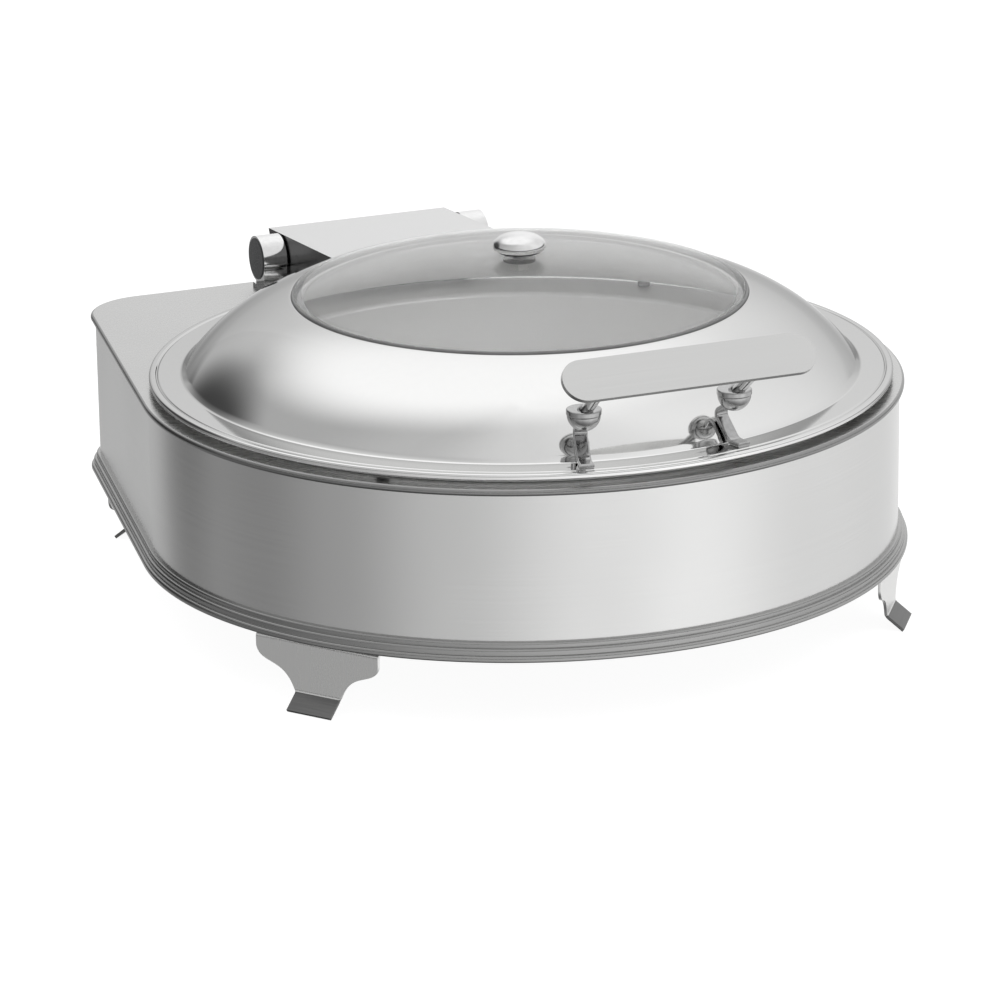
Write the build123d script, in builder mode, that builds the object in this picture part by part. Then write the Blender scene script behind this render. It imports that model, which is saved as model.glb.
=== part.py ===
"""Round roll top chafer with an electrically heated housing and a hinged lid.

Millimetres, +Z up. The origin lies on the table, under the middle of the plan.
The handle faces -Y and the hinge is at +Y. The bowl is round about its own
axis, which stands a little in front of the origin, at BOWL_Y.
"""

import os
from math import cos, radians, sin, sqrt

from build123d import *

# ---------------------------------------------------------------- housing
BODY_R = 235.0          # deck edge on the round part of the plan
SIDE_TURN = 9.6         # degrees past the widest point where the straight sides start
REAR_Y = 274.0          # rear edge of the deck, measured from the bowl's axis
REAR_CORNER_R = 42.0
BOWL_Y = -14.55         # the bowl's axis in the part's frame
DECK_Z = 147.0          # top of the deck above the table
DECK_LIP = 4.2          # depth of the deck's turned-down edge
WALL_INSET = 3.0        # the wall stands this far inside the deck edge
SHEET = 1.2             # stainless sheet
TRAY_Z = 43.0           # underside of the base tray
TRAY_STEPS = ((4.0, 3.0), (4.0, 1.4), (3.3, -0.4))   # height and growth of each bead
FIT = 0.3               # gap between pieces that move past each other
RUNNING = 0.05          # radial clearance of a shaft in its bearing

# ---------------------------------------------------------------- pans and heater
WATER_R = 191.0         # outside of the water pan's wall
WATER_FLOOR_Z = 66.0
WATER_RIM_R = 220.0
FOOD_RIM_R = 197.0
FOOD_WALL_R = 181.0
FOOD_FOOT_R = 174.0
FOOD_DEPTH = 65.0
FOOD_SHEET = 1.0
PAD_R = 4.0
PAD_RING_R = 213.0
SPREADER_R = 105.0
SPREADER_T = 3.0
ELEMENT_R = 72.0
ELEMENT_WIRE_R = 3.25
STUD_RING_R = 92.0
STUD_R = 2.5

# ---------------------------------------------------------------- lid
BRIM_R = 228.0
BRIM_TOP = DECK_Z + 7.0
BRIM_EDGE = DECK_Z + 3.7
DOME_FOOT_R = 207.5
DOME_MID = (185.0, DECK_Z + 30.5)
WINDOW_R = 141.0
WINDOW_Z = DECK_Z + 53.0
SEAT_DROP = 2.3         # the window seat lies this far under the dome's end
SEAT_R = 132.0
GLASS_R = 137.8
GLASS_T = 4.0
GLASS_RISE = 22.3
GLASS_HOLE_R = 4.0
KNOB_R = 16.25
KNOB_H = 10.0
KNOB_WASHER_R = 13.0
KNOB_WASHER_T = 1.5

# ---------------------------------------------------------------- hinge
PIVOT_Y = 254.0         # measured from the bowl's axis
PIVOT_Z = DECK_Z + 20.5
BARREL_R = 15.0         # the posts' barrels and the cover's roll under the pivot
COVER_HALF = 62.0
COVER_REAR = (276.0, DECK_Z + 34.0)     # on the cover's top: rearwards from the bowl's axis, and up
COVER_FALL = 3.9        # degrees the cover's top falls to the rear
COVER_TURN = 24.0       # degrees under the pivot's level where the cover's rear face starts
COVER_FRONT = 150.0     # the cover runs this far in before it is cut to the dome
POST_NEAR = 63.2
POST_FAR = 79.0
CAP_R = 13.6
CAP_T = 1.6
CAP_RECESS = 1.0
POST_SCREWS = [(x, y) for x in (-73.0, 73.0) for y in (PIVOT_Y - 13, PIVOT_Y)]
SHAFT_R = 5.0
BUSH_R = 8.0
ARM_X = 44.0
ARM_T = 4.0

# ---------------------------------------------------------------- handle
HANDLE_Y = -248.0       # measured from the bowl's axis
HANDLE_Z = DECK_Z + 70.0
HANDLE_TILT = 45.0
HANDLE_LENGTH = 158.0
HANDLE_WIDTH = 27.0
HANDLE_T = 3.0
LEG_TURN = 13.0         # degrees either side of the front
LEG_CUP_R = 211.6       # radius of the leg's cup about the bowl's axis
LEG_WIDTH = 8.5
LEG_T = 3.0
CUP_R = 10.0
CUP_TOP = DECK_Z + 37.0
COLLAR_T = 3.5
NECK_R = 3.5

# ---------------------------------------------------------------- feet
FOOT_HALF = 43.0
FOOT_NECK_HALF = 15.5
FOOT_T = 2.0
FOOT_FRONT_TURN = 54.5
FOOT_FRONT_R = 231.0
FOOT_REAR = (174.0, 229.5)
FOOT_REAR_TURN = 135.0
FOOT_SCREW_X = 20.0
FOOT_SCREW_IN = 15.0
SCREW_R = 2.0
HEAD_R = 3.8
HEAD_T = 2.2
NUT_R = 3.6

# ---------------------------------------------------------------- controls on the rear wall
PANEL_Z = 99.0
PANEL_SIZE = (186.0, 54.0)
PANEL_T = 2.0
PANEL_WINDOW = (162.0, 40.0)
PANEL_SCREWS = (174.0, 40.0)    # spacing across and up
PANEL_SCREW_R = 1.6
INLET_X = -62.0
SWITCH_X = -22.0
LAMP_X = 8.0
DIAL_X = 52.0

os.makedirs("parts", exist_ok=True)

FLOOR = Plane((0, BOWL_Y, 0))
ROUND = Plane((0, BOWL_Y, 0), x_dir=(1, 0, 0), z_dir=(0, -1, 0))
SIDE = Plane((0, BOWL_Y, 0), x_dir=(0, 1, 0), z_dir=(1, 0, 0))
BOWL_AXIS = Axis((0, BOWL_Y, 0), (0, 0, 1))
WALL_REAR_Y = BOWL_Y + REAR_Y - WALL_INSET
PANEL = Plane((0, WALL_REAR_Y + PANEL_T, PANEL_Z), x_dir=(-1, 0, 0), z_dir=(0, 1, 0))


def level(height):
    """Horizontal plane through the bowl's axis at a height above the table."""
    return FLOOR.offset(height)


def across(x):
    """Upright plane facing +X at x, whose axes run rearwards from the bowl's axis and up."""
    return SIDE.offset(x)


def plan_face(grow):
    """Plan of the housing: a round front whose sides run straight to a narrower rear edge."""
    turn = radians(SIDE_TURN)
    radius = BODY_R + grow
    rear = REAR_Y + grow
    touch = (radius * cos(turn), radius * sin(turn))
    corner = ((radius - rear * sin(turn)) / cos(turn), rear)
    with BuildSketch() as plan:
        with BuildLine():
            ThreePointArc(touch, (0, -radius), (-touch[0], touch[1]))
            Polyline((-touch[0], touch[1]), (-corner[0], rear), corner, touch)
        make_face()
        fillet(plan.vertices().group_by(Axis.Y)[-1], REAR_CORNER_R + grow)
    return plan.sketch


def hex_face(radius):
    """Hexagon for a nut, by its corner radius."""
    with BuildSketch() as nut:
        RegularPolygon(radius, 6)
    return nut.sketch


def foot_plane(x, y, turn):
    """Upright plane of a foot: it faces outwards, turned from the front by an angle."""
    heading = radians(turn)
    return Plane((x, BOWL_Y + y, 0), x_dir=(cos(heading), sin(heading), 0),
                 z_dir=(sin(heading), -cos(heading), 0))


FRONT_X = FOOT_FRONT_R * sin(radians(FOOT_FRONT_TURN))
FRONT_Y = -FOOT_FRONT_R * cos(radians(FOOT_FRONT_TURN))
FEET = {
    "foot_front_left": foot_plane(-FRONT_X, FRONT_Y, -FOOT_FRONT_TURN),
    "foot_front_right": foot_plane(FRONT_X, FRONT_Y, FOOT_FRONT_TURN),
    "foot_rear_left": foot_plane(-FOOT_REAR[0], FOOT_REAR[1], -FOOT_REAR_TURN),
    "foot_rear_right": foot_plane(FOOT_REAR[0], FOOT_REAR[1], FOOT_REAR_TURN),
}
foot_screw_points = [
    plane.from_local_coords((x, 0, -FOOT_SCREW_IN))
    for plane in FEET.values()
    for x in (-FOOT_SCREW_X, FOOT_SCREW_X)
]

# ================================================================ housing
with BuildPart() as skirt:
    with BuildSketch(level(TRAY_Z + SHEET)):
        add(plan_face(-WALL_INSET))
        add(plan_face(-WALL_INSET - SHEET), mode=Mode.SUBTRACT)
    extrude(amount=DECK_Z - TRAY_Z - 2 * SHEET)
    with BuildSketch(PANEL):
        RectangleRounded(*PANEL_WINDOW, 4)
        with GridLocations(*PANEL_SCREWS, 2, 2):
            Circle(PANEL_SCREW_R)
    extrude(amount=-PANEL_T - 3 * SHEET, mode=Mode.SUBTRACT)
skirt.part.label = "skirt"
export_step(skirt.part, "parts/skirt.step")

with BuildPart() as top_deck:
    with BuildSketch(level(DECK_Z - SHEET)):
        add(plan_face(0))
    extrude(amount=SHEET)
    fillet(top_deck.faces().sort_by(Axis.Z)[-1].edges(), 0.8)
    with BuildSketch(level(DECK_Z - DECK_LIP)):
        add(plan_face(0))
        add(plan_face(-SHEET), mode=Mode.SUBTRACT)
    extrude(amount=DECK_LIP - SHEET)
    with BuildSketch(level(DECK_Z)):
        Circle(WATER_R + 0.5)
        with Locations(*POST_SCREWS):
            Circle(SCREW_R)
    extrude(amount=-2 * SHEET, mode=Mode.SUBTRACT)
top_deck.part.label = "top_deck"
export_step(top_deck.part, "parts/top_deck.step")

with BuildPart() as base_tray:
    bead_z = TRAY_Z
    for bead_h, bead_grow in TRAY_STEPS:
        with BuildSketch(level(bead_z)):
            add(plan_face(bead_grow))
        extrude(amount=bead_h)
        bead_z += bead_h
    with BuildSketch(level(TRAY_Z + SHEET)):
        add(plan_face(-WALL_INSET))
    extrude(amount=bead_z - TRAY_Z, mode=Mode.SUBTRACT)
    with BuildSketch(level(TRAY_Z)):
        with PolarLocations(125, 10, start_angle=18):
            SlotOverall(46, 7, rotation=90)
        with PolarLocations(60, 6):
            SlotOverall(30, 7, rotation=90)
        with Locations((0, 210), (-60, 215), (60, 215)):
            SlotOverall(34, 7)
    extrude(amount=SHEET, mode=Mode.SUBTRACT)
    for point in foot_screw_points:
        with BuildSketch(Plane((point.X, point.Y, TRAY_Z))):
            Circle(SCREW_R)
        extrude(amount=SHEET, mode=Mode.SUBTRACT)
base_tray.part.label = "base_tray"
export_step(base_tray.part, "parts/base_tray.step")


def make_foot(plane):
    """Bent sheet foot: a tab under the tray, an upright with curved sides, and a flared lip."""
    lip = Plane(plane.origin, x_dir=plane.z_dir, z_dir=-plane.x_dir)
    tab = Plane(plane.from_local_coords((0, TRAY_Z, 0)), x_dir=plane.x_dir, z_dir=(0, 0, 1))
    with BuildPart() as foot:
        with BuildSketch(plane):
            with BuildLine():
                top = Line((-FOOT_HALF, TRAY_Z), (FOOT_HALF, TRAY_Z))
                right = Line(top @ 1, (FOOT_HALF, 34))
                flare = Bezier(right @ 1, (FOOT_HALF - 3, 22), (24, 30), (FOOT_NECK_HALF + 1, 11))
                neck = Line(flare @ 1, (FOOT_NECK_HALF + 0.6, 9.5))
                Line(neck @ 1, (-FOOT_NECK_HALF - 0.6, 9.5))
                mirror(about=Plane.YZ, objects=(right, flare, neck))
            make_face()
        extrude(amount=-FOOT_T)
        with BuildSketch(lip.offset(-FOOT_NECK_HALF)):
            Polygon((-FOOT_T, 12), (-FOOT_T, 9), (8.8, 0), (12, 0), (0, 9.94), (0, 12), align=None)
        extrude(amount=2 * FOOT_NECK_HALF)
        with BuildSketch(tab):
            with Locations((0, FOOT_T + 12)):
                Rectangle(64, 24)
        extrude(amount=-FOOT_T)
        with BuildSketch(tab):
            with Locations((-FOOT_SCREW_X, FOOT_SCREW_IN), (FOOT_SCREW_X, FOOT_SCREW_IN)):
                Circle(SCREW_R)
        extrude(amount=-FOOT_T, mode=Mode.SUBTRACT)
    return foot.part


for foot_name, plane in FEET.items():
    with BuildPart() as foot:
        add(make_foot(plane))
    foot.part.label = foot_name
    export_step(foot.part, f"parts/{foot_name}.step")

with BuildPart() as foot_screws:
    for point in foot_screw_points:
        with BuildSketch(Plane((point.X, point.Y, TRAY_Z - FOOT_T))):
            Circle(HEAD_R)
        extrude(amount=-HEAD_T)
        with BuildSketch(Plane((point.X, point.Y, TRAY_Z - FOOT_T))):
            Circle(SCREW_R)
        extrude(amount=FOOT_T + SHEET + 5)
foot_screws.part.label = "foot_screws"
export_step(foot_screws.part, "parts/foot_screws.step")

with BuildPart() as foot_nuts:
    for point in foot_screw_points:
        with BuildSketch(Plane((point.X, point.Y, TRAY_Z + SHEET))):
            add(hex_face(NUT_R))
            Circle(SCREW_R, mode=Mode.SUBTRACT)
        extrude(amount=3.2)
foot_nuts.part.label = "foot_nuts"
export_step(foot_nuts.part, "parts/foot_nuts.step")

# ================================================================ pans
with BuildPart() as water_pan:
    with BuildSketch(ROUND):
        with BuildLine():
            Polyline((0, WATER_FLOOR_Z), (WATER_R - 9, WATER_FLOOR_Z))
            RadiusArc((WATER_R - 9, WATER_FLOOR_Z), (WATER_R, WATER_FLOOR_Z + 9), -9)
            Polyline((WATER_R, WATER_FLOOR_Z + 9), (WATER_R, DECK_Z), (WATER_RIM_R, DECK_Z),
                     (WATER_RIM_R, DECK_Z + SHEET), (WATER_R - SHEET, DECK_Z + SHEET),
                     (WATER_R - SHEET, WATER_FLOOR_Z + 9))
            RadiusArc((WATER_R - SHEET, WATER_FLOOR_Z + 9), (WATER_R - 9, WATER_FLOOR_Z + SHEET), 7.8)
            Polyline((WATER_R - 9, WATER_FLOOR_Z + SHEET), (0, WATER_FLOOR_Z + SHEET), (0, WATER_FLOOR_Z))
        make_face()
    revolve(axis=BOWL_AXIS)
water_pan.part.label = "water_pan"
export_step(water_pan.part, "parts/water_pan.step")

FOOD_RIM_Z = DECK_Z + SHEET
FOOD_FLOOR_Z = FOOD_RIM_Z - FOOD_DEPTH
with BuildPart() as food_pan:
    with BuildSketch(ROUND):
        with BuildLine():
            FilletPolyline((0, FOOD_FLOOR_Z), (FOOD_FOOT_R, FOOD_FLOOR_Z), (FOOD_WALL_R, FOOD_RIM_Z),
                           (FOOD_RIM_R, FOOD_RIM_Z), radius=(14, 2.4))
            Polyline((FOOD_RIM_R, FOOD_RIM_Z), (FOOD_RIM_R, FOOD_RIM_Z + FOOD_SHEET))
            FilletPolyline((FOOD_RIM_R, FOOD_RIM_Z + FOOD_SHEET), (FOOD_WALL_R - 0.9, FOOD_RIM_Z + FOOD_SHEET),
                           (FOOD_FOOT_R - 1.1, FOOD_FLOOR_Z + FOOD_SHEET), (0, FOOD_FLOOR_Z + FOOD_SHEET),
                           radius=(3.4, 13))
            Line((0, FOOD_FLOOR_Z + FOOD_SHEET), (0, FOOD_FLOOR_Z))
        make_face()
    revolve(axis=BOWL_AXIS)
food_pan.part.label = "food_pan"
export_step(food_pan.part, "parts/food_pan.step")

with BuildPart() as lid_rest_pads:
    with BuildSketch(level(DECK_Z + SHEET)):
        with PolarLocations(PAD_RING_R, 4, start_angle=45):
            Circle(PAD_R)
    extrude(amount=BRIM_TOP - SHEET - FIT - DECK_Z - SHEET)
lid_rest_pads.part.label = "lid_rest_pads"
export_step(lid_rest_pads.part, "parts/lid_rest_pads.step")

# ================================================================ heater
SPREADER_Z = WATER_FLOOR_Z - SPREADER_T
ELEMENT_Z = SPREADER_Z - ELEMENT_WIRE_R
CLAMP_Z = ELEMENT_Z - ELEMENT_WIRE_R
STUD_TURNS = (45, 135, 225, 315)

with BuildPart() as heat_spreader:
    with BuildSketch(level(SPREADER_Z)):
        Circle(SPREADER_R)
        with PolarLocations(STUD_RING_R, 4, start_angle=45):
            Circle(STUD_R, mode=Mode.SUBTRACT)
    extrude(amount=SPREADER_T)
heat_spreader.part.label = "heat_spreader"
export_step(heat_spreader.part, "parts/heat_spreader.step")

ELEMENT_GAP = 20.0      # half angle of the break in the element's ring, at the rear
ELEMENT_LEG = 34.0
leg_x = ELEMENT_R * sin(radians(ELEMENT_GAP))
leg_y = ELEMENT_R * cos(radians(ELEMENT_GAP))
with BuildPart() as heating_element:
    with BuildLine(level(ELEMENT_Z)) as element_path:
        ring = CenterArc((0, 0), ELEMENT_R, 90 + ELEMENT_GAP, 360 - 2 * ELEMENT_GAP)
    with BuildSketch(Plane(element_path.line @ 0, z_dir=element_path.line % 0)):
        Circle(ELEMENT_WIRE_R)
    sweep()
    for x in (-leg_x, leg_x):
        with BuildSketch(Plane((x, BOWL_Y + leg_y, ELEMENT_Z), z_dir=(0, 1, 0))):
            Circle(ELEMENT_WIRE_R)
        extrude(amount=ELEMENT_LEG)
        with Locations(Plane((x, BOWL_Y + leg_y, ELEMENT_Z))):
            Sphere(ELEMENT_WIRE_R)
heating_element.part.label = "heating_element"
export_step(heating_element.part, "parts/heating_element.step")

with BuildPart() as element_terminals:
    for x in (-leg_x, leg_x):
        with BuildSketch(Plane((x, BOWL_Y + leg_y + ELEMENT_LEG, ELEMENT_Z), z_dir=(0, 1, 0))):
            Circle(2.4)
        extrude(amount=5)
        with BuildSketch(Plane((x, BOWL_Y + leg_y + ELEMENT_LEG + 5, ELEMENT_Z), z_dir=(0, 1, 0))):
            Rectangle(6.3, 0.8)
        extrude(amount=8)
element_terminals.part.label = "element_terminals"
export_step(element_terminals.part, "parts/element_terminals.step")

with BuildPart() as heater_studs:
    with BuildSketch(level(WATER_FLOOR_Z)):
        with PolarLocations(STUD_RING_R, 4, start_angle=45):
            Circle(STUD_R)
    extrude(amount=-(WATER_FLOOR_Z - CLAMP_Z + 7))
heater_studs.part.label = "heater_studs"
export_step(heater_studs.part, "parts/heater_studs.step")

with BuildPart() as heater_clamp:
    with BuildSketch(level(CLAMP_Z)):
        SlotCenterToCenter(2 * STUD_RING_R, 16, rotation=45)
        SlotCenterToCenter(2 * STUD_RING_R, 16, rotation=135)
        with PolarLocations(STUD_RING_R, 4, start_angle=45):
            Circle(STUD_R, mode=Mode.SUBTRACT)
    extrude(amount=-1.5)
heater_clamp.part.label = "heater_clamp"
export_step(heater_clamp.part, "parts/heater_clamp.step")

with BuildPart() as heater_nuts:
    with BuildSketch(level(CLAMP_Z - 1.5)):
        with PolarLocations(STUD_RING_R, 4, start_angle=45):
            add(hex_face(4.6))
            Circle(STUD_R, mode=Mode.SUBTRACT)
    extrude(amount=-4)
heater_nuts.part.label = "heater_nuts"
export_step(heater_nuts.part, "parts/heater_nuts.step")

with BuildPart() as thermal_cutout:
    with BuildSketch(level(SPREADER_Z)):
        with Locations((0, 22)):
            Circle(8)
    extrude(amount=-4)
    with BuildSketch(level(SPREADER_Z - 4)):
        with Locations((0, 22)):
            Rectangle(12, 9)
    extrude(amount=-2)
thermal_cutout.part.label = "thermal_cutout"
export_step(thermal_cutout.part, "parts/thermal_cutout.step")

# ================================================================ controls
with BuildPart() as control_panel:
    with BuildSketch(PANEL):
        RectangleRounded(*PANEL_SIZE, 7)
        with Locations((INLET_X, 0)):
            Rectangle(28, 20.5, mode=Mode.SUBTRACT)
        with Locations((SWITCH_X, 0)):
            Rectangle(13, 20, mode=Mode.SUBTRACT)
        with Locations((LAMP_X, 0)):
            Circle(5.1, mode=Mode.SUBTRACT)
        with Locations((DIAL_X, 0)):
            Circle(4.5, mode=Mode.SUBTRACT)
        with GridLocations(*PANEL_SCREWS, 2, 2):
            Circle(PANEL_SCREW_R, mode=Mode.SUBTRACT)
    extrude(amount=-PANEL_T)
control_panel.part.label = "control_panel"
export_step(control_panel.part, "parts/control_panel.step")


with BuildPart() as panel_screws:
    with BuildSketch(PANEL):
        with GridLocations(*PANEL_SCREWS, 2, 2):
            Circle(2.8)
    extrude(amount=1.6)
    with BuildSketch(PANEL):
        with GridLocations(*PANEL_SCREWS, 2, 2):
            Circle(PANEL_SCREW_R)
    extrude(amount=-PANEL_T - SHEET - 4)
panel_screws.part.label = "panel_screws"
export_step(panel_screws.part, "parts/panel_screws.step")

DIAL_SHAFT_R = 3.0
with BuildPart() as thermostat_body:
    with BuildSketch(PANEL.offset(-PANEL_T)):
        with Locations((DIAL_X, 0)):
            RectangleRounded(34, 34, 3)
    extrude(amount=-24)
    with BuildSketch(PANEL.offset(-PANEL_T)):
        with Locations((DIAL_X, 0)):
            Circle(DIAL_SHAFT_R + RUNNING)
    extrude(amount=-12, mode=Mode.SUBTRACT)
    with BuildSketch(PANEL.offset(-PANEL_T - 24)):
        with Locations((DIAL_X - 9, 0), (DIAL_X + 9, 0)):
            Rectangle(0.8, 6.3)
    extrude(amount=-8)
thermostat_body.part.label = "thermostat_body"
export_step(thermostat_body.part, "parts/thermostat_body.step")

with BuildPart() as thermostat_shaft:
    with BuildSketch(PANEL.offset(8)):
        with Locations((DIAL_X, 0)):
            Circle(DIAL_SHAFT_R)
    extrude(amount=-8 - PANEL_T - 11.5)
thermostat_shaft.part.label = "thermostat_shaft"
export_step(thermostat_shaft.part, "parts/thermostat_shaft.step")

with BuildPart() as thermostat_knob:
    with BuildSketch(PANEL.offset(0.5)):
        with Locations((DIAL_X, 0)):
            Circle(17)
    extrude(amount=3)
    with BuildSketch(PANEL.offset(3.5)):
        with Locations((DIAL_X, 0)):
            Circle(13)
    extrude(amount=10, taper=4)
    fillet(thermostat_knob.faces().sort_by(Axis.Y)[-1].edges(), 1.2)
    with BuildSketch(PANEL.offset(13.5)):
        with Locations((DIAL_X, 5)):
            Rectangle(2, 11)
    extrude(amount=0.8)
    with BuildSketch(PANEL.offset(0.5)):
        with Locations((DIAL_X, 0)):
            Circle(DIAL_SHAFT_R)
    extrude(amount=7.5, mode=Mode.SUBTRACT)
thermostat_knob.part.label = "thermostat_knob"
export_step(thermostat_knob.part, "parts/thermostat_knob.step")

# The rocker rests tilted to its off side; it turns about a pin across the housing.
ROCKER_R = 8.5
ROCKER_HALF = 5.0
ROCKER_TILT = 8.0
ROCKER_PIN_R = 1.0
ROCKER_DEPTH = -1.0     # the pin's place behind the panel's face
SWITCH_WALL = 1.1
window = (2 * (ROCKER_HALF + FIT), 2 * (ROCKER_R + FIT))
rocker_plane = Plane(PANEL.from_local_coords((SWITCH_X, 0, ROCKER_DEPTH)), x_dir=(0, 1, 0), z_dir=(1, 0, 0))
with BuildPart() as switch_body:
    with BuildSketch(PANEL):
        with Locations((SWITCH_X, 0)):
            RectangleRounded(16, 23, 1.5)
    extrude(amount=1.5)
    with BuildSketch(PANEL):
        with Locations((SWITCH_X, 0)):
            Rectangle(window[0] + 2 * SWITCH_WALL, window[1] + 2 * SWITCH_WALL)
    extrude(amount=-18)
    with BuildSketch(PANEL.offset(1.5)):
        with Locations((SWITCH_X, 0)):
            Rectangle(*window)
    extrude(amount=-10, mode=Mode.SUBTRACT)
    with BuildSketch(rocker_plane):
        Circle(ROCKER_PIN_R + RUNNING)
    extrude(amount=ROCKER_HALF + FIT + 0.8, both=True, mode=Mode.SUBTRACT)
    with BuildSketch(PANEL.offset(-18)):
        with Locations((SWITCH_X, -5), (SWITCH_X, 5)):
            Rectangle(4.8, 0.8)
    extrude(amount=-7)
switch_body.part.label = "switch_body"
export_step(switch_body.part, "parts/switch_body.step")

with BuildPart() as switch_rocker:
    with BuildSketch(rocker_plane):
        Circle(ROCKER_R)
        Polygon((-2.5, -9), (3.9, -9), (3.1, 0), (3.9, 9), (-2.5, 9), rotation=-ROCKER_TILT,
                align=None, mode=Mode.INTERSECT)
    extrude(amount=ROCKER_HALF, both=True)
    with BuildSketch(rocker_plane):
        Circle(ROCKER_PIN_R)
    extrude(amount=ROCKER_HALF + FIT + 0.7, both=True)
switch_rocker.part.label = "switch_rocker"
export_step(switch_rocker.part, "parts/switch_rocker.step")

LAMP_R = 5.0
LENS_R = 4.2
with BuildPart() as lamp_bezel:
    with BuildSketch(PANEL):
        with Locations((LAMP_X, 0)):
            Circle(7)
    extrude(amount=1.2)
    with BuildSketch(PANEL):
        with Locations((LAMP_X, 0)):
            Circle(LAMP_R)
    extrude(amount=-12)
    with BuildSketch(PANEL.offset(1.2)):
        with Locations((LAMP_X, 0)):
            Circle(LENS_R)
    extrude(amount=-6, mode=Mode.SUBTRACT)
lamp_bezel.part.label = "lamp_bezel"
export_step(lamp_bezel.part, "parts/lamp_bezel.step")

with BuildPart() as lamp_lens:
    with BuildSketch(PANEL.offset(-4.8)):
        with Locations((LAMP_X, 0)):
            Circle(LENS_R)
    extrude(amount=7.6)
    fillet(lamp_lens.faces().sort_by(Axis.Y)[-1].edges(), 1.4)
lamp_lens.part.label = "lamp_lens"
export_step(lamp_lens.part, "parts/lamp_lens.step")

INLET_DEPTH = 16.0
with BuildPart() as inlet_socket:
    with BuildSketch(PANEL):
        with Locations((INLET_X, 0)):
            RectangleRounded(34, 26, 3)
    extrude(amount=2)
    with BuildSketch(PANEL):
        with Locations((INLET_X, 0)):
            Rectangle(27.8, 20.3)
    extrude(amount=-INLET_DEPTH - 3)
    with BuildSketch(PANEL.offset(2)):
        with Locations((INLET_X, 0)):
            RectangleRounded(24.4, 16.8, 2)
    extrude(amount=-INLET_DEPTH - 2, mode=Mode.SUBTRACT)
inlet_socket.part.label = "inlet_socket"
export_step(inlet_socket.part, "parts/inlet_socket.step")

with BuildPart() as inlet_pins:
    with BuildSketch(PANEL.offset(-INLET_DEPTH)):
        with Locations((INLET_X - 7, -2), (INLET_X + 7, -2), (INLET_X, 2)):
            Rectangle(2, 4)
    extrude(amount=11.5)
inlet_pins.part.label = "inlet_pins"
export_step(inlet_pins.part, "parts/inlet_pins.step")

# ================================================================ lid
LEG_HEADINGS = {"left": -1, "right": 1}


def turned_point(side, radius):
    """Plan position of something on a leg's radial line, in the bowl's own plan."""
    turn = radians(side * LEG_TURN)
    return (radius * sin(turn), -radius * cos(turn))


LEG_SCREW_R = 216.5
ARM_SCREW = (ARM_X + 8, 213.0)
lid_screw_points = [turned_point(side, LEG_SCREW_R) for side in LEG_HEADINGS.values()]
lid_screw_points += [(-ARM_SCREW[0], ARM_SCREW[1]), ARM_SCREW]
BRIM_UNDER = BRIM_TOP - SHEET
SEAT_Z = WINDOW_Z - SEAT_DROP

with BuildPart() as lid_shell:
    with BuildSketch(ROUND):
        with BuildLine():
            Polyline((BRIM_R, BRIM_EDGE), (BRIM_R, BRIM_TOP - 1), (BRIM_R - 1, BRIM_TOP), (DOME_FOOT_R, BRIM_TOP))
            ThreePointArc((DOME_FOOT_R, BRIM_TOP), DOME_MID, (WINDOW_R, WINDOW_Z))
            Polyline((WINDOW_R, WINDOW_Z), (WINDOW_R - SHEET, WINDOW_Z), (WINDOW_R - SHEET, SEAT_Z),
                     (SEAT_R, SEAT_Z), (SEAT_R, SEAT_Z - SHEET), (WINDOW_R + 0.6, SEAT_Z - SHEET))
            ThreePointArc((WINDOW_R + 0.6, SEAT_Z - SHEET), (DOME_MID[0] - 1, DOME_MID[1] - 1.3),
                          (DOME_FOOT_R - 1.6, BRIM_UNDER))
            Polyline((DOME_FOOT_R - 1.6, BRIM_UNDER), (BRIM_R - SHEET, BRIM_UNDER),
                     (BRIM_R - SHEET, BRIM_EDGE), (BRIM_R, BRIM_EDGE))
        make_face()
    revolve(axis=BOWL_AXIS)
    with BuildSketch(level(BRIM_TOP)):
        with Locations(*lid_screw_points):
            Circle(SCREW_R)
    extrude(amount=-2 * SHEET, mode=Mode.SUBTRACT)
lid_shell.part.label = "lid_shell"
export_step(lid_shell.part, "parts/lid_shell.step")

with BuildPart() as window_gasket:
    with BuildSketch(ROUND):
        Polygon((SEAT_R, SEAT_Z), (WINDOW_R - SHEET, SEAT_Z), (WINDOW_R - SHEET, WINDOW_Z + 1.4),
                (GLASS_R, WINDOW_Z + 1.4), (GLASS_R, SEAT_Z + 1), (SEAT_R, SEAT_Z + 1), align=None)
    revolve(axis=BOWL_AXIS)
window_gasket.part.label = "window_gasket"
export_step(window_gasket.part, "parts/window_gasket.step")

GLASS_Z = SEAT_Z + 1.0      # underside of the glass at its edge
glass_sphere = (GLASS_R ** 2 + GLASS_RISE ** 2) / (2 * GLASS_RISE)
GLASS_TOP = GLASS_Z + GLASS_T + GLASS_RISE
with BuildPart() as window_glass:
    with BuildSketch(ROUND):
        with BuildLine():
            RadiusArc((0, GLASS_TOP), (GLASS_R, GLASS_TOP - GLASS_RISE), glass_sphere)
            Line((GLASS_R, GLASS_TOP - GLASS_RISE), (GLASS_R, GLASS_Z))
            RadiusArc((GLASS_R, GLASS_Z), (0, GLASS_TOP - GLASS_T), -glass_sphere)
            Line((0, GLASS_TOP - GLASS_T), (0, GLASS_TOP))
        make_face()
    revolve(axis=BOWL_AXIS)
    with BuildSketch(level(GLASS_Z)):
        Circle(GLASS_HOLE_R)
    extrude(amount=2 * GLASS_RISE, mode=Mode.SUBTRACT)
window_glass.part.label = "window_glass"
export_step(window_glass.part, "parts/window_glass.step")

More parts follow.
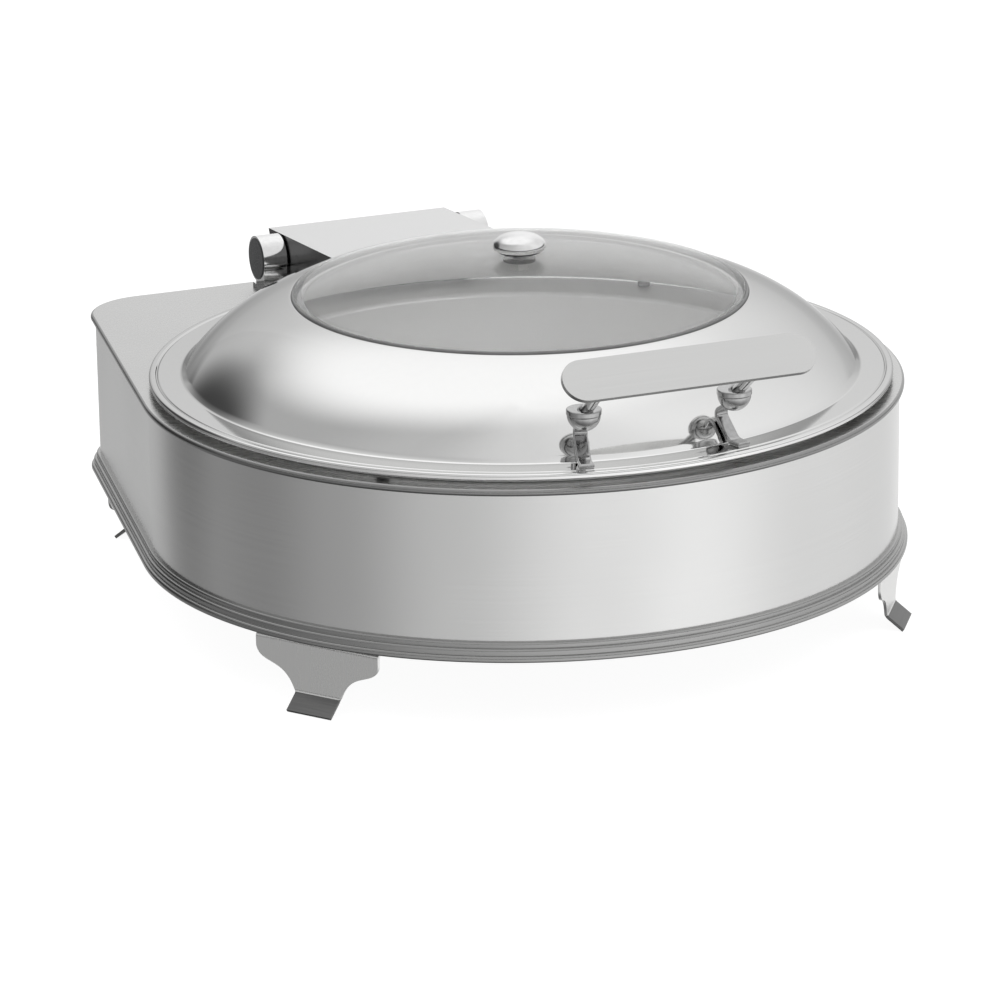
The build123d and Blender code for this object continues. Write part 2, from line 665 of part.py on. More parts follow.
KNOB_STUD_R = 3.0
LOWER_WASHER_Z = GLASS_TOP - GLASS_T - KNOB_WASHER_T - 0.15
with BuildPart() as knob_washers:
    with BuildSketch(level(GLASS_TOP)):
        Circle(KNOB_WASHER_R)
        Circle(KNOB_STUD_R, mode=Mode.SUBTRACT)
    extrude(amount=KNOB_WASHER_T)
    with BuildSketch(level(LOWER_WASHER_Z)):
        Circle(10)
        Circle(KNOB_STUD_R, mode=Mode.SUBTRACT)
    extrude(amount=KNOB_WASHER_T)
knob_washers.part.label = "knob_washers"
export_step(knob_washers.part, "parts/knob_washers.step")

KNOB_Z = GLASS_TOP + KNOB_WASHER_T
knob_sphere = (KNOB_R ** 2 + (KNOB_H - 2) ** 2) / (2 * (KNOB_H - 2))
with BuildPart() as window_knob:
    with BuildSketch(ROUND):
        with BuildLine():
            Polyline((0, KNOB_Z), (KNOB_R - 1.5, KNOB_Z), (KNOB_R, KNOB_Z + 2))
            RadiusArc((KNOB_R, KNOB_Z + 2), (0, KNOB_Z + KNOB_H), -knob_sphere)
            Line((0, KNOB_Z + KNOB_H), (0, KNOB_Z))
        make_face()
    revolve(axis=BOWL_AXIS)
    with BuildSketch(level(KNOB_Z)):
        Circle(KNOB_STUD_R)
    extrude(amount=-(KNOB_Z - LOWER_WASHER_Z + 6))
window_knob.part.label = "window_knob"
export_step(window_knob.part, "parts/window_knob.step")

with BuildPart() as knob_nut:
    with BuildSketch(level(LOWER_WASHER_Z)):
        add(hex_face(6.4))
        Circle(KNOB_STUD_R, mode=Mode.SUBTRACT)
    extrude(amount=-5)
knob_nut.part.label = "knob_nut"
export_step(knob_nut.part, "parts/knob_nut.step")

with BuildPart() as lid_screws:
    with BuildSketch(level(BRIM_UNDER)):
        with Locations(*lid_screw_points):
            Circle(HEAD_R)
    extrude(amount=-1.8)
    with BuildSketch(level(BRIM_UNDER)):
        with Locations(*lid_screw_points):
            Circle(SCREW_R)
    extrude(amount=SHEET + 2.2)
lid_screws.part.label = "lid_screws"
export_step(lid_screws.part, "parts/lid_screws.step")

# ================================================================ handle
LEG_PATH = ((LEG_CUP_R - 3, CUP_TOP - 6.5), (LEG_CUP_R - 14.6, CUP_TOP - 13.5),
            (LEG_CUP_R - 0.6, BRIM_TOP + LEG_T / 2), (LEG_CUP_R + 9.5, BRIM_TOP + LEG_T / 2))
handle_plane = Plane((0, BOWL_Y + HANDLE_Y, HANDLE_Z), x_dir=(1, 0, 0),
                     z_dir=(0, -sin(radians(HANDLE_TILT)), cos(radians(HANDLE_TILT))))


def make_leg(side):
    """Cast leg: a half-round cup, a strip that leans in towards the dome, and a foot on the brim."""
    turn = radians(side * LEG_TURN)
    radial = Plane((0, BOWL_Y, 0), x_dir=(sin(turn), -cos(turn), 0), z_dir=(-cos(turn), -sin(turn), 0))
    x, y = turned_point(side, LEG_CUP_R)
    with BuildPart() as leg:
        with BuildSketch(radial):
            with BuildLine():
                FilletPolyline(*LEG_PATH, radius=(4, 7))
            trace(line_width=LEG_T)
        extrude(amount=LEG_WIDTH / 2, both=True)
        with Locations((x, BOWL_Y + y, CUP_TOP)):
            Sphere(CUP_R)
        split(bisect_by=Plane.XY.offset(CUP_TOP), keep=Keep.BOTTOM)
        split(bisect_by=Plane.XY.offset(BRIM_TOP), keep=Keep.TOP)
        with BuildSketch(level(BRIM_TOP)):
            with Locations(turned_point(side, LEG_SCREW_R)):
                Circle(SCREW_R)
        extrude(amount=2.2, mode=Mode.SUBTRACT)
    return leg.part


for side_name, side in LEG_HEADINGS.items():
    with BuildPart() as handle_leg:
        add(make_leg(side))
    handle_leg.part.label = f"handle_leg_{side_name}"
    export_step(handle_leg.part, f"parts/handle_leg_{side_name}.step")

with BuildPart() as handle_collars:
    with BuildSketch(level(CUP_TOP)):
        with Locations(*(turned_point(side, LEG_CUP_R) for side in LEG_HEADINGS.values())):
            Circle(CUP_R + 0.4)
    extrude(amount=COLLAR_T)
    chamfer(handle_collars.faces().filter_by(Axis.Z).edges(), 0.5)
handle_collars.part.label = "handle_collars"
export_step(handle_collars.part, "parts/handle_collars.step")

with BuildPart() as handle_plate:
    with BuildSketch(handle_plane):
        SlotOverall(HANDLE_LENGTH, HANDLE_WIDTH)
    extrude(amount=HANDLE_T / 2, both=True)
    fillet(handle_plate.edges().filter_by(GeomType.CIRCLE) + handle_plate.edges().filter_by(Axis.X), 1)
handle_plate.part.label = "handle_plate"
export_step(handle_plate.part, "parts/handle_plate.step")

for side_name, side in LEG_HEADINGS.items():
    x, y = turned_point(side, LEG_CUP_R)
    foot_of_neck = Vector(x, BOWL_Y + y, CUP_TOP)
    head_of_neck = Vector(x * 1.05, BOWL_Y + HANDLE_Y, HANDLE_Z)
    with BuildPart() as handle_neck:
        with BuildSketch(Plane(foot_of_neck, z_dir=head_of_neck - foot_of_neck)):
            Circle(NECK_R)
        extrude(amount=(head_of_neck - foot_of_neck).length)
        split(bisect_by=Plane.XY.offset(CUP_TOP + COLLAR_T), keep=Keep.TOP)
        split(bisect_by=handle_plane.offset(-HANDLE_T / 2), keep=Keep.BOTTOM)
    handle_neck.part.label = f"handle_neck_{side_name}"
    export_step(handle_neck.part, f"parts/handle_neck_{side_name}.step")

# ================================================================ hinge
def make_post(side):
    """Hinge post: a barrel on a pedestal, screwed to the deck from below."""
    with BuildPart() as post:
        with BuildSketch(across(side * POST_NEAR)):
            with Locations((PIVOT_Y, PIVOT_Z)):
                Circle(BARREL_R)
            with Locations((PIVOT_Y - 6, (DECK_Z + PIVOT_Z) / 2)):
                Rectangle(16, PIVOT_Z - DECK_Z)
            with Locations((PIVOT_Y - 6, DECK_Z + 1.5)):
                Rectangle(28, 3)
            with Locations((PIVOT_Y, PIVOT_Z)):
                Circle(SHAFT_R, mode=Mode.SUBTRACT)
        extrude(amount=side * (POST_FAR - POST_NEAR))
        with BuildSketch(across(side * POST_FAR)):
            with Locations((PIVOT_Y, PIVOT_Z)):
                Circle(CAP_R)
        extrude(amount=-side * CAP_RECESS, mode=Mode.SUBTRACT)
        with BuildSketch(level(DECK_Z)):
            with Locations(*POST_SCREWS):
                Circle(SCREW_R)
        extrude(amount=2.5, mode=Mode.SUBTRACT)
    return post.part


for side_name, side in LEG_HEADINGS.items():
    with BuildPart() as hinge_post:
        add(make_post(side))
    hinge_post.part.label = f"hinge_post_{side_name}"
    export_step(hinge_post.part, f"parts/hinge_post_{side_name}.step")
    with BuildPart() as pivot_cap:
        with BuildSketch(across(side * (POST_FAR - CAP_RECESS))):
            with Locations((PIVOT_Y, PIVOT_Z)):
                Circle(CAP_R)
        extrude(amount=side * CAP_T)
        fillet(pivot_cap.faces().sort_by(Axis.X)[-1 if side > 0 else 0].edges(), 0.5)
    pivot_cap.part.label = f"pivot_cap_{side_name}"
    export_step(pivot_cap.part, f"parts/pivot_cap_{side_name}.step")

with BuildPart() as post_screws:
    with BuildSketch(level(DECK_Z - SHEET)):
        with Locations(*POST_SCREWS):
            Circle(HEAD_R)
    extrude(amount=-HEAD_T)
    with BuildSketch(level(DECK_Z - SHEET)):
        with Locations(*POST_SCREWS):
            Circle(SCREW_R)
    extrude(amount=SHEET + 2.5)
post_screws.part.label = "post_screws"
export_step(post_screws.part, "parts/post_screws.step")

with BuildPart() as pivot_shaft:
    with BuildSketch(across(0)):
        with Locations((PIVOT_Y, PIVOT_Z)):
            Circle(SHAFT_R)
    extrude(amount=POST_FAR - CAP_RECESS, both=True)
pivot_shaft.part.label = "pivot_shaft"
export_step(pivot_shaft.part, "parts/pivot_shaft.step")

with BuildPart() as shaft_clips:
    for side in LEG_HEADINGS.values():
        with BuildSketch(across(side * (ARM_X + ARM_T / 2 + 1 + FIT))):
            with Locations((PIVOT_Y, PIVOT_Z)):
                Circle(BUSH_R)
                Circle(SHAFT_R, mode=Mode.SUBTRACT)
        extrude(amount=side * 1.2)
shaft_clips.part.label = "shaft_clips"
export_step(shaft_clips.part, "parts/shaft_clips.step")

with BuildPart() as hinge_bushes:
    for side in LEG_HEADINGS.values():
        with BuildSketch(across(side * ARM_X)):
            with Locations((PIVOT_Y, PIVOT_Z)):
                Circle(BUSH_R)
                Circle(SHAFT_R + RUNNING, mode=Mode.SUBTRACT)
        extrude(amount=ARM_T / 2 + 1, both=True)
hinge_bushes.part.label = "hinge_bushes"
export_step(hinge_bushes.part, "parts/hinge_bushes.step")

ARM_FOOT = (207.0, 219.0)       # from and to, rearwards of the bowl's axis
ARM_HEAD_R = 12.0
for side_name, side in LEG_HEADINGS.items():
    with BuildPart() as hinge_arm:
        with BuildSketch(across(side * ARM_X)):
            Polygon((ARM_FOOT[0], BRIM_TOP), (ARM_FOOT[0], BRIM_TOP + 9), (PIVOT_Y - 3, PIVOT_Z + 11.6),
                    (PIVOT_Y - 3, PIVOT_Z - 11.6), (ARM_FOOT[1], BRIM_TOP), align=None)
            with Locations((PIVOT_Y, PIVOT_Z)):
                Circle(ARM_HEAD_R)
                Circle(BUSH_R, mode=Mode.SUBTRACT)
        extrude(amount=ARM_T / 2, both=True)
        with BuildSketch(level(BRIM_TOP)):
            with Locations((side * (ARM_X + 6), sum(ARM_FOOT) / 2)):
                Rectangle(16, ARM_FOOT[1] - ARM_FOOT[0])
        extrude(amount=2.5)
        with BuildSketch(level(BRIM_TOP)):
            with Locations((side * ARM_SCREW[0], ARM_SCREW[1])):
                Circle(SCREW_R)
        extrude(amount=2.2, mode=Mode.SUBTRACT)
    hinge_arm.part.label = f"hinge_arm_{side_name}"
    export_step(hinge_arm.part, f"parts/hinge_arm_{side_name}.step")

with BuildPart() as counterbalance_spring:
    with BuildSketch(across(0)):
        with Locations((PIVOT_Y, PIVOT_Z)):
            Circle(8.4)
            Circle(6.2, mode=Mode.SUBTRACT)
    extrude(amount=ARM_X - ARM_T / 2 - 1, both=True)
counterbalance_spring.part.label = "counterbalance_spring"
export_step(counterbalance_spring.part, "parts/counterbalance_spring.step")


def cover_profile(inset, bottom):
    """Section of the hinge cover: a top that falls to the rear, and a rear face that rolls under the pivot."""
    radius = BARREL_R - inset
    fall = Vector(cos(radians(COVER_FALL)), -sin(radians(COVER_FALL)))
    rise = Vector(sin(radians(COVER_TURN)), cos(radians(COVER_TURN)))
    normal = Vector(-fall.Y, fall.X)
    ridge = Vector(*COVER_REAR) - normal * inset
    heel = Vector(PIVOT_Y + radius * rise.Y, PIVOT_Z - radius * rise.X)
    corner = heel + rise * ((ridge - heel).dot(normal) / rise.dot(normal))
    front = ridge - fall * ((ridge.X - COVER_FRONT) / fall.X)
    half = radians((90 + COVER_TURN) / 2)
    middle = (PIVOT_Y + radius * cos(half), PIVOT_Z - radius * sin(half))
    with BuildSketch() as profile:
        with BuildLine():
            Polyline((PIVOT_Y, bottom), (COVER_FRONT, bottom), front, corner, heel)
            ThreePointArc(heel, middle, (PIVOT_Y, PIVOT_Z - radius))
            Line((PIVOT_Y, PIVOT_Z - radius), (PIVOT_Y, bottom))
        make_face()
    return profile.sketch


with BuildPart() as dome_space:
    with BuildSketch(ROUND):
        with BuildLine():
            Polyline((WINDOW_R, WINDOW_Z), (0, WINDOW_Z), (0, BRIM_TOP - 5), (DOME_FOOT_R, BRIM_TOP - 5),
                     (DOME_FOOT_R, BRIM_TOP))
            ThreePointArc((DOME_FOOT_R, BRIM_TOP), DOME_MID, (WINDOW_R, WINDOW_Z))
        make_face()
    revolve(axis=BOWL_AXIS)

with BuildPart() as hinge_cover:
    with BuildSketch(across(0)):
        add(cover_profile(0, BRIM_TOP))
    extrude(amount=COVER_HALF, both=True)
    with BuildSketch(across(0)):
        add(cover_profile(SHEET, PIVOT_Z - BARREL_R - 1))
    extrude(amount=COVER_HALF - SHEET, both=True, mode=Mode.SUBTRACT)
    with BuildSketch(across(0)):
        with Locations((PIVOT_Y, PIVOT_Z)):
            Circle(SHAFT_R + 2 * FIT)
    extrude(amount=COVER_HALF, both=True, mode=Mode.SUBTRACT)
    add(dome_space.part, mode=Mode.SUBTRACT)
hinge_cover.part.label = "hinge_cover"
export_step(hinge_cover.part, "parts/hinge_cover.step")
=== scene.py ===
"""Looks of the roll top chafer: finely meshed sheet metal, studio light and the camera.

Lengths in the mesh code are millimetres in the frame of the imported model, scaled by MM when a mesh is made.
The bowl, its pans and the lid are round about an upright axis at BOWL_Y.
"""

from math import atan2, ceil, cos, hypot, pi, radians, sin, sqrt, tan

import bmesh
import bpy
from mathutils import Matrix, Vector


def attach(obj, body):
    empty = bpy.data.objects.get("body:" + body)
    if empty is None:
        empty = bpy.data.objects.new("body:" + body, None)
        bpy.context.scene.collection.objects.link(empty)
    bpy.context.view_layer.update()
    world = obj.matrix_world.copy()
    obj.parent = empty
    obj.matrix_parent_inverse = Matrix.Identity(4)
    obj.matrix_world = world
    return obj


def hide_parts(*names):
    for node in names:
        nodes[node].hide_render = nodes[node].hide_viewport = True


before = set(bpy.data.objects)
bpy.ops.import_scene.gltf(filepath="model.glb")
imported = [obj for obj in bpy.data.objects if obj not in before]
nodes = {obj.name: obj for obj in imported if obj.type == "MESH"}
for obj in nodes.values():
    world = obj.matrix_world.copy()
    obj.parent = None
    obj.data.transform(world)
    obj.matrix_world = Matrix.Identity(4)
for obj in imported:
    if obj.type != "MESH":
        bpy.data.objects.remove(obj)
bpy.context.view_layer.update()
MM = 0.001

# ---------------------------------------------------------------- sizes shared with the CAD model
BODY_R = 234.93
SIDE_TURN = radians(9.6)
REAR_Y = 274.0
CORNER_R = 42.0
BOWL_Y = -14.55
DECK_Z = 147.0
WALL_REAR_Y = BOWL_Y + REAR_Y - 3.0
PANEL_Y = WALL_REAR_Y + 2.0
PANEL_Z = 99.0
PIVOT_Y = BOWL_Y + 254.0
PIVOT_Z = 167.5


# ================================================================ camera
def look_from(azimuth, elevation):
    """Unit vectors towards the camera, to its right and up; azimuth 0 looks along +Y."""
    a, e = radians(azimuth), radians(elevation)
    back = Vector((sin(a) * cos(e), -cos(a) * cos(e), sin(e)))
    right = Vector((cos(a), sin(a), 0))
    return back, right, back.cross(right)


CAMERA_AZIMUTH, CAMERA_ELEVATION, CAMERA_ROLL = -22.75, 16.4, -0.78
DISTANCE, FOCAL_LENGTH, SENSOR = 3178.0, 186.2, 36
AIM_LEFT, AIM_DOWN = 13.8, 77.2
back, right, up = look_from(CAMERA_AZIMUTH, CAMERA_ELEVATION)
bowl_centre = Vector((0, BOWL_Y, DECK_Z))
aim = bowl_centre - AIM_LEFT * right - AIM_DOWN * up
eye = bowl_centre + DISTANCE * back
camera = bpy.data.objects.new("camera", bpy.data.cameras.new("camera"))
camera.data.lens = FOCAL_LENGTH
camera.data.sensor_width = SENSOR
camera.data.clip_end = 50
view = (aim - eye).normalized()
level = view.cross(Vector((0, 0, 1))).normalized()
facing = Matrix((level, level.cross(view), -view)).transposed().to_4x4()
roll = Matrix.Rotation(radians(CAMERA_ROLL), 4, "Z")
camera.matrix_world = Matrix.Translation(eye * MM) @ facing @ roll
bpy.context.scene.collection.objects.link(camera)
bpy.context.scene.camera = camera
bpy.context.scene.view_settings.view_transform = "Standard"


# ================================================================ node helpers
class Graph:
    """Short way to write a node tree. Values are numbers, tuples or output sockets."""

    def __init__(self, tree):
        self.tree = tree
        tree.nodes.clear()

    def put(self, socket, value):
        if isinstance(value, bpy.types.NodeSocket):
            self.tree.links.new(value, socket)
        elif value is not None:
            socket.default_value = value

    def add(self, kind, inputs=(), out=0, **settings):
        node = self.tree.nodes.new(kind)
        for name, value in settings.items():
            setattr(node, name, value)
        for name, value in dict(inputs).items():
            self.put(node.inputs[name], value)
        return node.outputs[out] if len(node.outputs) else node

    def math(self, operation, a, b=0.0):
        return self.add("ShaderNodeMath", {0: a, 1: b}, operation=operation)

    def vector(self, operation, a, b, out="Vector"):
        return self.add("ShaderNodeVectorMath", {0: a, 1: b}, out=out, operation=operation)

    def remap(self, value, low, high, to_low=0.0, to_high=1.0, smooth=True):
        ends = {"From Min": low, "From Max": high, "To Min": to_low, "To Max": to_high}
        return self.add("ShaderNodeMapRange", {"Value": value, **ends},
                        interpolation_type="SMOOTHSTEP" if smooth else "LINEAR")

    def mix(self, factor, a, b):
        return self.add("ShaderNodeMix", {0: factor, 6: a, 7: b}, out=2, data_type="RGBA")

    def noise(self, point, scale, stretch=(1, 1, 1), detail=3.0, rough=0.55):
        point = self.add("ShaderNodeMapping", {"Vector": point, "Scale": stretch})
        return self.add("ShaderNodeTexNoise",
                        {"Vector": point, "Scale": scale, "Detail": detail, "Roughness": rough})


def grey(value):
    return (value, value, value, 1.0)


# ================================================================ studio
# Brightness of the room round the object as (azimuth, level), below the horizon and above it.
LOW = ((-180, 0.50), (-107, 0.27), (-80, 0.40), (-45, 0.66), (0, 0.98), (30, 1.12), (72, 0.88), (120, 0.79),
       (157, 0.96), (180, 0.50))
HIGH = ((-180, 0.68), (-160, 0.42), (-118, 0.43), (-77, 0.52), (-23, 0.70), (20, 0.78), (62, 0.88),
        (120, 0.80), (152, 0.98), (180, 0.72))
OVERHEAD = 1.06
BRIGHTEST = 1.2


def studio_world():
    """Soft room: bright overhead, darker to the left, with a dark band and patch near the horizon."""
    world = bpy.data.worlds.new("studio")
    bpy.context.scene.world = world
    world.use_nodes = True
    g = Graph(world.node_tree)
    way = g.add("ShaderNodeTexCoord", out="Generated")
    x, y, z = g.add("ShaderNodeSeparateXYZ", {0: way}).node.outputs
    turn = g.remap(g.math("ARCTAN2", x, g.math("MULTIPLY", y, -1.0)), -pi, pi, smooth=False)

    def around(levels):
        ramp = g.add("ShaderNodeValToRGB", {0: turn}).node
        stops = ramp.color_ramp.elements
        while len(stops) < len(levels):
            stops.new(0.5)
        for stop, (degrees, level) in zip(stops, levels):
            stop.position = (degrees + 180) / 360
            stop.color = grey(level / BRIGHTEST)
        ramp.color_ramp.interpolation = "EASE"
        return g.math("MULTIPLY", ramp.outputs["Color"], BRIGHTEST)

    def near(azimuth, elevation, low, high, to_low=0.0, to_high=1.0, flat=False):
        place = g.vector("NORMALIZE", g.vector("MULTIPLY", way, (1, 1, 0)), (0, 0, 0)) if flat else way
        closeness = g.vector("DOT_PRODUCT", place, tuple(look_from(azimuth, elevation)[0]), out="Value")
        return g.remap(closeness, low, high, to_low, to_high)

    def blend(factor, a, b):
        return g.add("ShaderNodeMix", {0: factor, 2: a, 3: b}, data_type="FLOAT")

    low = g.math("MULTIPLY", around(LOW), g.remap(z, -0.95, -0.3, 0.25, 1.0))
    high = blend(near(175, 65, 0.76, 0.96), around(HIGH), OVERHEAD)
    glow = blend(g.remap(z, -0.04, 0.06), low, high)
    band = g.math("MULTIPLY", g.remap(z, -0.10, -0.03, 0, 1), g.remap(z, 0.06, 0.15, 1, 0))
    band = g.math("MULTIPLY", band, near(152, 0, 0.74, 0.93, 0.93, 0.1, flat=True))
    band = g.math("MAXIMUM", band, near(-146, 6, 0.86, 0.97, 0, 0.85))
    glow = g.math("MULTIPLY", glow, g.math("SUBTRACT", 1.0, band))
    seen = g.add("ShaderNodeLightPath", out="Is Camera Ray")
    shade = g.add("ShaderNodeBackground", {"Color": (1, 1, 1, 1), "Strength": blend(seen, glow, 1.0)})
    g.add("ShaderNodeOutputWorld", {"Surface": shade})


def studio_floor():
    """Plain pale floor, kept out of the reflections, which see the room instead."""
    mesh = bpy.data.meshes.new("floor")
    bm = bmesh.new()
    bmesh.ops.create_grid(bm, x_segments=4, y_segments=4, size=12)
    bm.to_mesh(mesh)
    bm.free()
    floor = bpy.data.objects.new("floor", mesh)
    bpy.context.scene.collection.objects.link(floor)
    material = bpy.data.materials.new("floor_paint")
    material.use_nodes = True
    g = Graph(material.node_tree)
    point = g.add("ShaderNodeTexCoord", out="Object")
    tone = g.mix(g.noise(point, 2.0), grey(0.20), grey(0.22))
    shade = g.add("ShaderNodeBsdfPrincipled",
                  {"Base Color": tone, "Roughness": 0.9, "Specular IOR Level": 0.1,
                   "Emission Color": (1, 1, 1, 1), "Emission Strength": 0.93})
    g.add("ShaderNodeOutputMaterial", {"Surface": shade})
    mesh.materials.append(material)
    floor.visible_glossy = False


def soft_light(name, place, aim, size, power):
    """Area lamp that lights the object and stays out of its reflections."""
    lamp = bpy.data.objects.new(name, bpy.data.lights.new(name, "AREA"))
    lamp.data.shape = "RECTANGLE"
    lamp.data.size, lamp.data.size_y = size
    lamp.data.energy = power
    lamp.location = place
    lamp.rotation_euler = (Vector(aim) - Vector(place)).to_track_quat("-Z", "Y").to_euler()
    lamp.visible_glossy = False
    bpy.context.scene.collection.objects.link(lamp)


studio_world()
studio_floor()
soft_light("key", (1.2, -1.4, 2.6), (0, 0, 0.1), (2.2, 2.2), 24)
soft_light("fill", (-1.8, 0.6, 2.4), (0, 0, 0.1), (2.0, 2.0), 10)


# ================================================================ materials
def material(name, build):
    made = bpy.data.materials.new(name)
    made.use_nodes = True
    g = Graph(made.node_tree)
    g.add("ShaderNodeOutputMaterial", {"Surface": build(g, g.add("ShaderNodeTexCoord", out="Object"))})
    return made


def metal(name, dark, light, rough, grain, stretch, depth, anisotropic=0.0, turn=0.0, spots=9.0,
          metallic=1.0, edge=1.0):
    """Bare metal: its grain is noise stretched along the brushing, its wear a cloud of tone and gloss."""
    def build(g, point):
        lines = g.noise(point, grain, stretch, detail=4.0)
        cloud = g.noise(point, spots, detail=2.0)
        tone = g.mix(g.remap(lines, 0.3, 0.7), dark, light)
        tone = g.mix(g.remap(cloud, 0.35, 0.75, 0.0, 0.35), tone, dark)
        worn = g.remap(cloud, 0.3, 0.7, 0.0, rough[2])
        gloss = g.math("ADD", g.remap(lines, 0.3, 0.7, rough[0], rough[1]), worn)
        bump = g.add("ShaderNodeBump", {"Strength": 1.0, "Distance": depth, "Height": lines})
        inputs = {"Base Color": tone, "Metallic": metallic, "Specular Tint": grey(edge), "Roughness": gloss,
                  "Normal": bump}
        if anisotropic:
            inputs |= {"Anisotropic": anisotropic, "Anisotropic Rotation": turn,
                       "Tangent": g.add("ShaderNodeTangent", direction_type="RADIAL", axis="Z")}
        return g.add("ShaderNodeBsdfPrincipled", inputs)
    return material(name, build)


def cover_steel_painted_shade():
    """Brushed steel whose two upright cheeks are painted near-black: painted shade on the sideways faces."""
    def build(g, point):
        lines = g.noise(point, 500, (0.012, 1.4, 0.4), detail=4.0)
        normal = g.add("ShaderNodeNewGeometry", out="True Normal")
        sideways = g.math("ABSOLUTE", g.add("ShaderNodeSeparateXYZ", {0: normal}))
        # painted shade: faces turned sideways are mixed to near-black
        painted_shade_cheek = g.remap(sideways, 0.75, 0.9)
        tone = g.mix(painted_shade_cheek, g.mix(g.remap(lines, 0.3, 0.7), grey(0.72), grey(0.75)), grey(0.045))
        bump = g.add("ShaderNodeBump", {"Strength": 1.0, "Distance": 0.000003, "Height": lines})
        return g.add("ShaderNodeBsdfPrincipled", {"Base Color": tone, "Metallic": 1.0, "Normal": bump,
                                                  "Roughness": g.remap(lines, 0.3, 0.7, 0.20, 0.25)})
    return material("cover_steel_painted_shade", build)


def plastic(name, dark, light, rough, grain=900.0, depth=0.00004):
    """Moulded plastic or rubber with a fine spark-eroded texture."""
    def build(g, point):
        fine = g.noise(point, grain, detail=2.0)
        cloud = g.noise(point, 25.0, detail=2.0)
        tone = g.mix(g.remap(cloud, 0.3, 0.7), dark, light)
        bump = g.add("ShaderNodeBump", {"Strength": 0.6, "Distance": depth, "Height": fine})
        gloss = g.remap(fine, 0.3, 0.7, rough[0], rough[1])
        return g.add("ShaderNodeBsdfPrincipled", {"Base Color": tone, "Roughness": gloss, "Normal": bump,
                                                  "Specular IOR Level": 0.45})
    return material(name, build)


def clear(name, tint, rough, ior, smear, body=1.0):
    """Transparent piece with a faint uneven film; below 1, body lets part of the light straight through."""
    def build(g, point):
        film = g.noise(point, smear, detail=3.0)
        tone = g.mix(g.remap(film, 0.3, 0.7), tint, tuple(0.97 * t for t in tint[:3]) + (1.0,))
        gloss = g.remap(film, 0.35, 0.7, rough[0], rough[1])
        alpha = 1.0
        if body < 1:
            grazing = g.add("ShaderNodeLayerWeight", {"Blend": 0.5}, out="Facing")
            alpha = g.remap(grazing, 0.6, 1.0, body, 1.0)
        return g.add("ShaderNodeBsdfPrincipled", {"Base Color": tone, "Roughness": gloss, "IOR": ior,
                                                  "Alpha": alpha, "Transmission Weight": 1.0})
    return material(name, build)


def rgb(r, g, b):
    return (r, g, b, 1.0)


WALL = metal("brushed_wall", rgb(0.765, 0.765, 0.76), rgb(0.795, 0.795, 0.79), (0.19, 0.23, 0.03),
             500, (0.012, 0.012, 1.6), 0.000003, 0.35, 0.25)
DECK = metal("brushed_deck", rgb(0.575, 0.575, 0.57), rgb(0.60, 0.60, 0.595), (0.22, 0.28, 0.04),
             500, (0.012, 1.6, 0.4), 0.000003)
MIRROR = metal("mirror_steel", rgb(0.885, 0.885, 0.88), rgb(0.893, 0.893, 0.888), (0.055, 0.070, 0.015),
               260, (1, 1, 1), 0.0000002, spots=5.0, edge=0.55)
CHROME = metal("chrome", rgb(0.84, 0.84, 0.84), rgb(0.89, 0.89, 0.89), (0.06, 0.10, 0.05),
               320, (1, 1, 1), 0.000002, spots=40.0)
TRAY = metal("tray_steel", rgb(0.39, 0.39, 0.387), rgb(0.44, 0.44, 0.436), (0.20, 0.26, 0.05),
             500, (0.012, 0.012, 1.6), 0.000004)
FOOT = metal("foot_steel", rgb(0.94, 0.94, 0.93), rgb(0.97, 0.97, 0.96), (0.24, 0.30, 0.05),
             500, (1.4, 1.4, 0.02), 0.0000015)
# painted shade: darker steel standing in for the shade and dark reflection along the deck's rolled edge
LIP_PAINTED_SHADE = metal("lip_steel_painted_shade", rgb(0.33, 0.33, 0.328), rgb(0.38, 0.38, 0.377), (0.20, 0.26, 0.05),
            500, (0.012, 0.012, 1.6), 0.000004)
SHADE = metal("shaded_edge", rgb(0.17, 0.17, 0.17), rgb(0.22, 0.22, 0.217), (0.26, 0.34, 0.05),
              500, (0.05, 0.05, 1.6), 0.000004)
HANDLE = metal("handle_steel", rgb(0.70, 0.70, 0.695), rgb(0.72, 0.72, 0.715), (0.18, 0.22, 0.03),
               500, (0.012, 1.4, 1.4), 0.000002)
BRACKET = metal("bracket_steel", rgb(0.42, 0.42, 0.42), rgb(0.50, 0.50, 0.50), (0.07, 0.12, 0.04),
                400, (1, 1, 1), 0.000002, spots=60.0)
COVER_PAINTED_SHADE = cover_steel_painted_shade()
SATIN_IN = metal("lid_inside", rgb(0.95, 0.95, 0.945), rgb(0.97, 0.97, 0.965), (0.34, 0.42, 0.05),
                 420, (1, 1, 0.3), 0.000002, metallic=0.55)
SATIN = metal("satin_steel", rgb(0.70, 0.70, 0.69), rgb(0.78, 0.78, 0.77), (0.22, 0.30, 0.06),
              600, (0.02, 1.4, 0.4), 0.000008)
PAN = metal("pan_steel", rgb(0.91, 0.91, 0.905), rgb(0.94, 0.94, 0.935), (0.30, 0.36, 0.05),
            420, (1, 1, 0.2), 0.000002, metallic=0.6)
PLATED = metal("plated_steel", rgb(0.58, 0.58, 0.57), rgb(0.68, 0.67, 0.65), (0.26, 0.36, 0.10),
               900, (1, 1, 1), 0.00001, spots=60.0)
SPRING = metal("spring_steel", rgb(0.20, 0.20, 0.21), rgb(0.32, 0.32, 0.33), (0.30, 0.42, 0.10),
               900, (1, 1, 1), 0.00001, spots=80.0)
SHEATH = metal("element_sheath", rgb(0.16, 0.15, 0.14), rgb(0.30, 0.27, 0.24), (0.42, 0.58, 0.10),
               500, (1, 1, 1), 0.00002, spots=50.0)
ALUMINIUM = metal("spreader_aluminium", rgb(0.60, 0.60, 0.61), rgb(0.72, 0.72, 0.73), (0.34, 0.46, 0.08),
                  500, (0.02, 1.5, 0.4), 0.00001)
BRASS = metal("brass_contacts", rgb(0.52, 0.36, 0.13), rgb(0.66, 0.48, 0.20), (0.22, 0.34, 0.10),
              700, (1, 1, 1), 0.00001, spots=90.0)
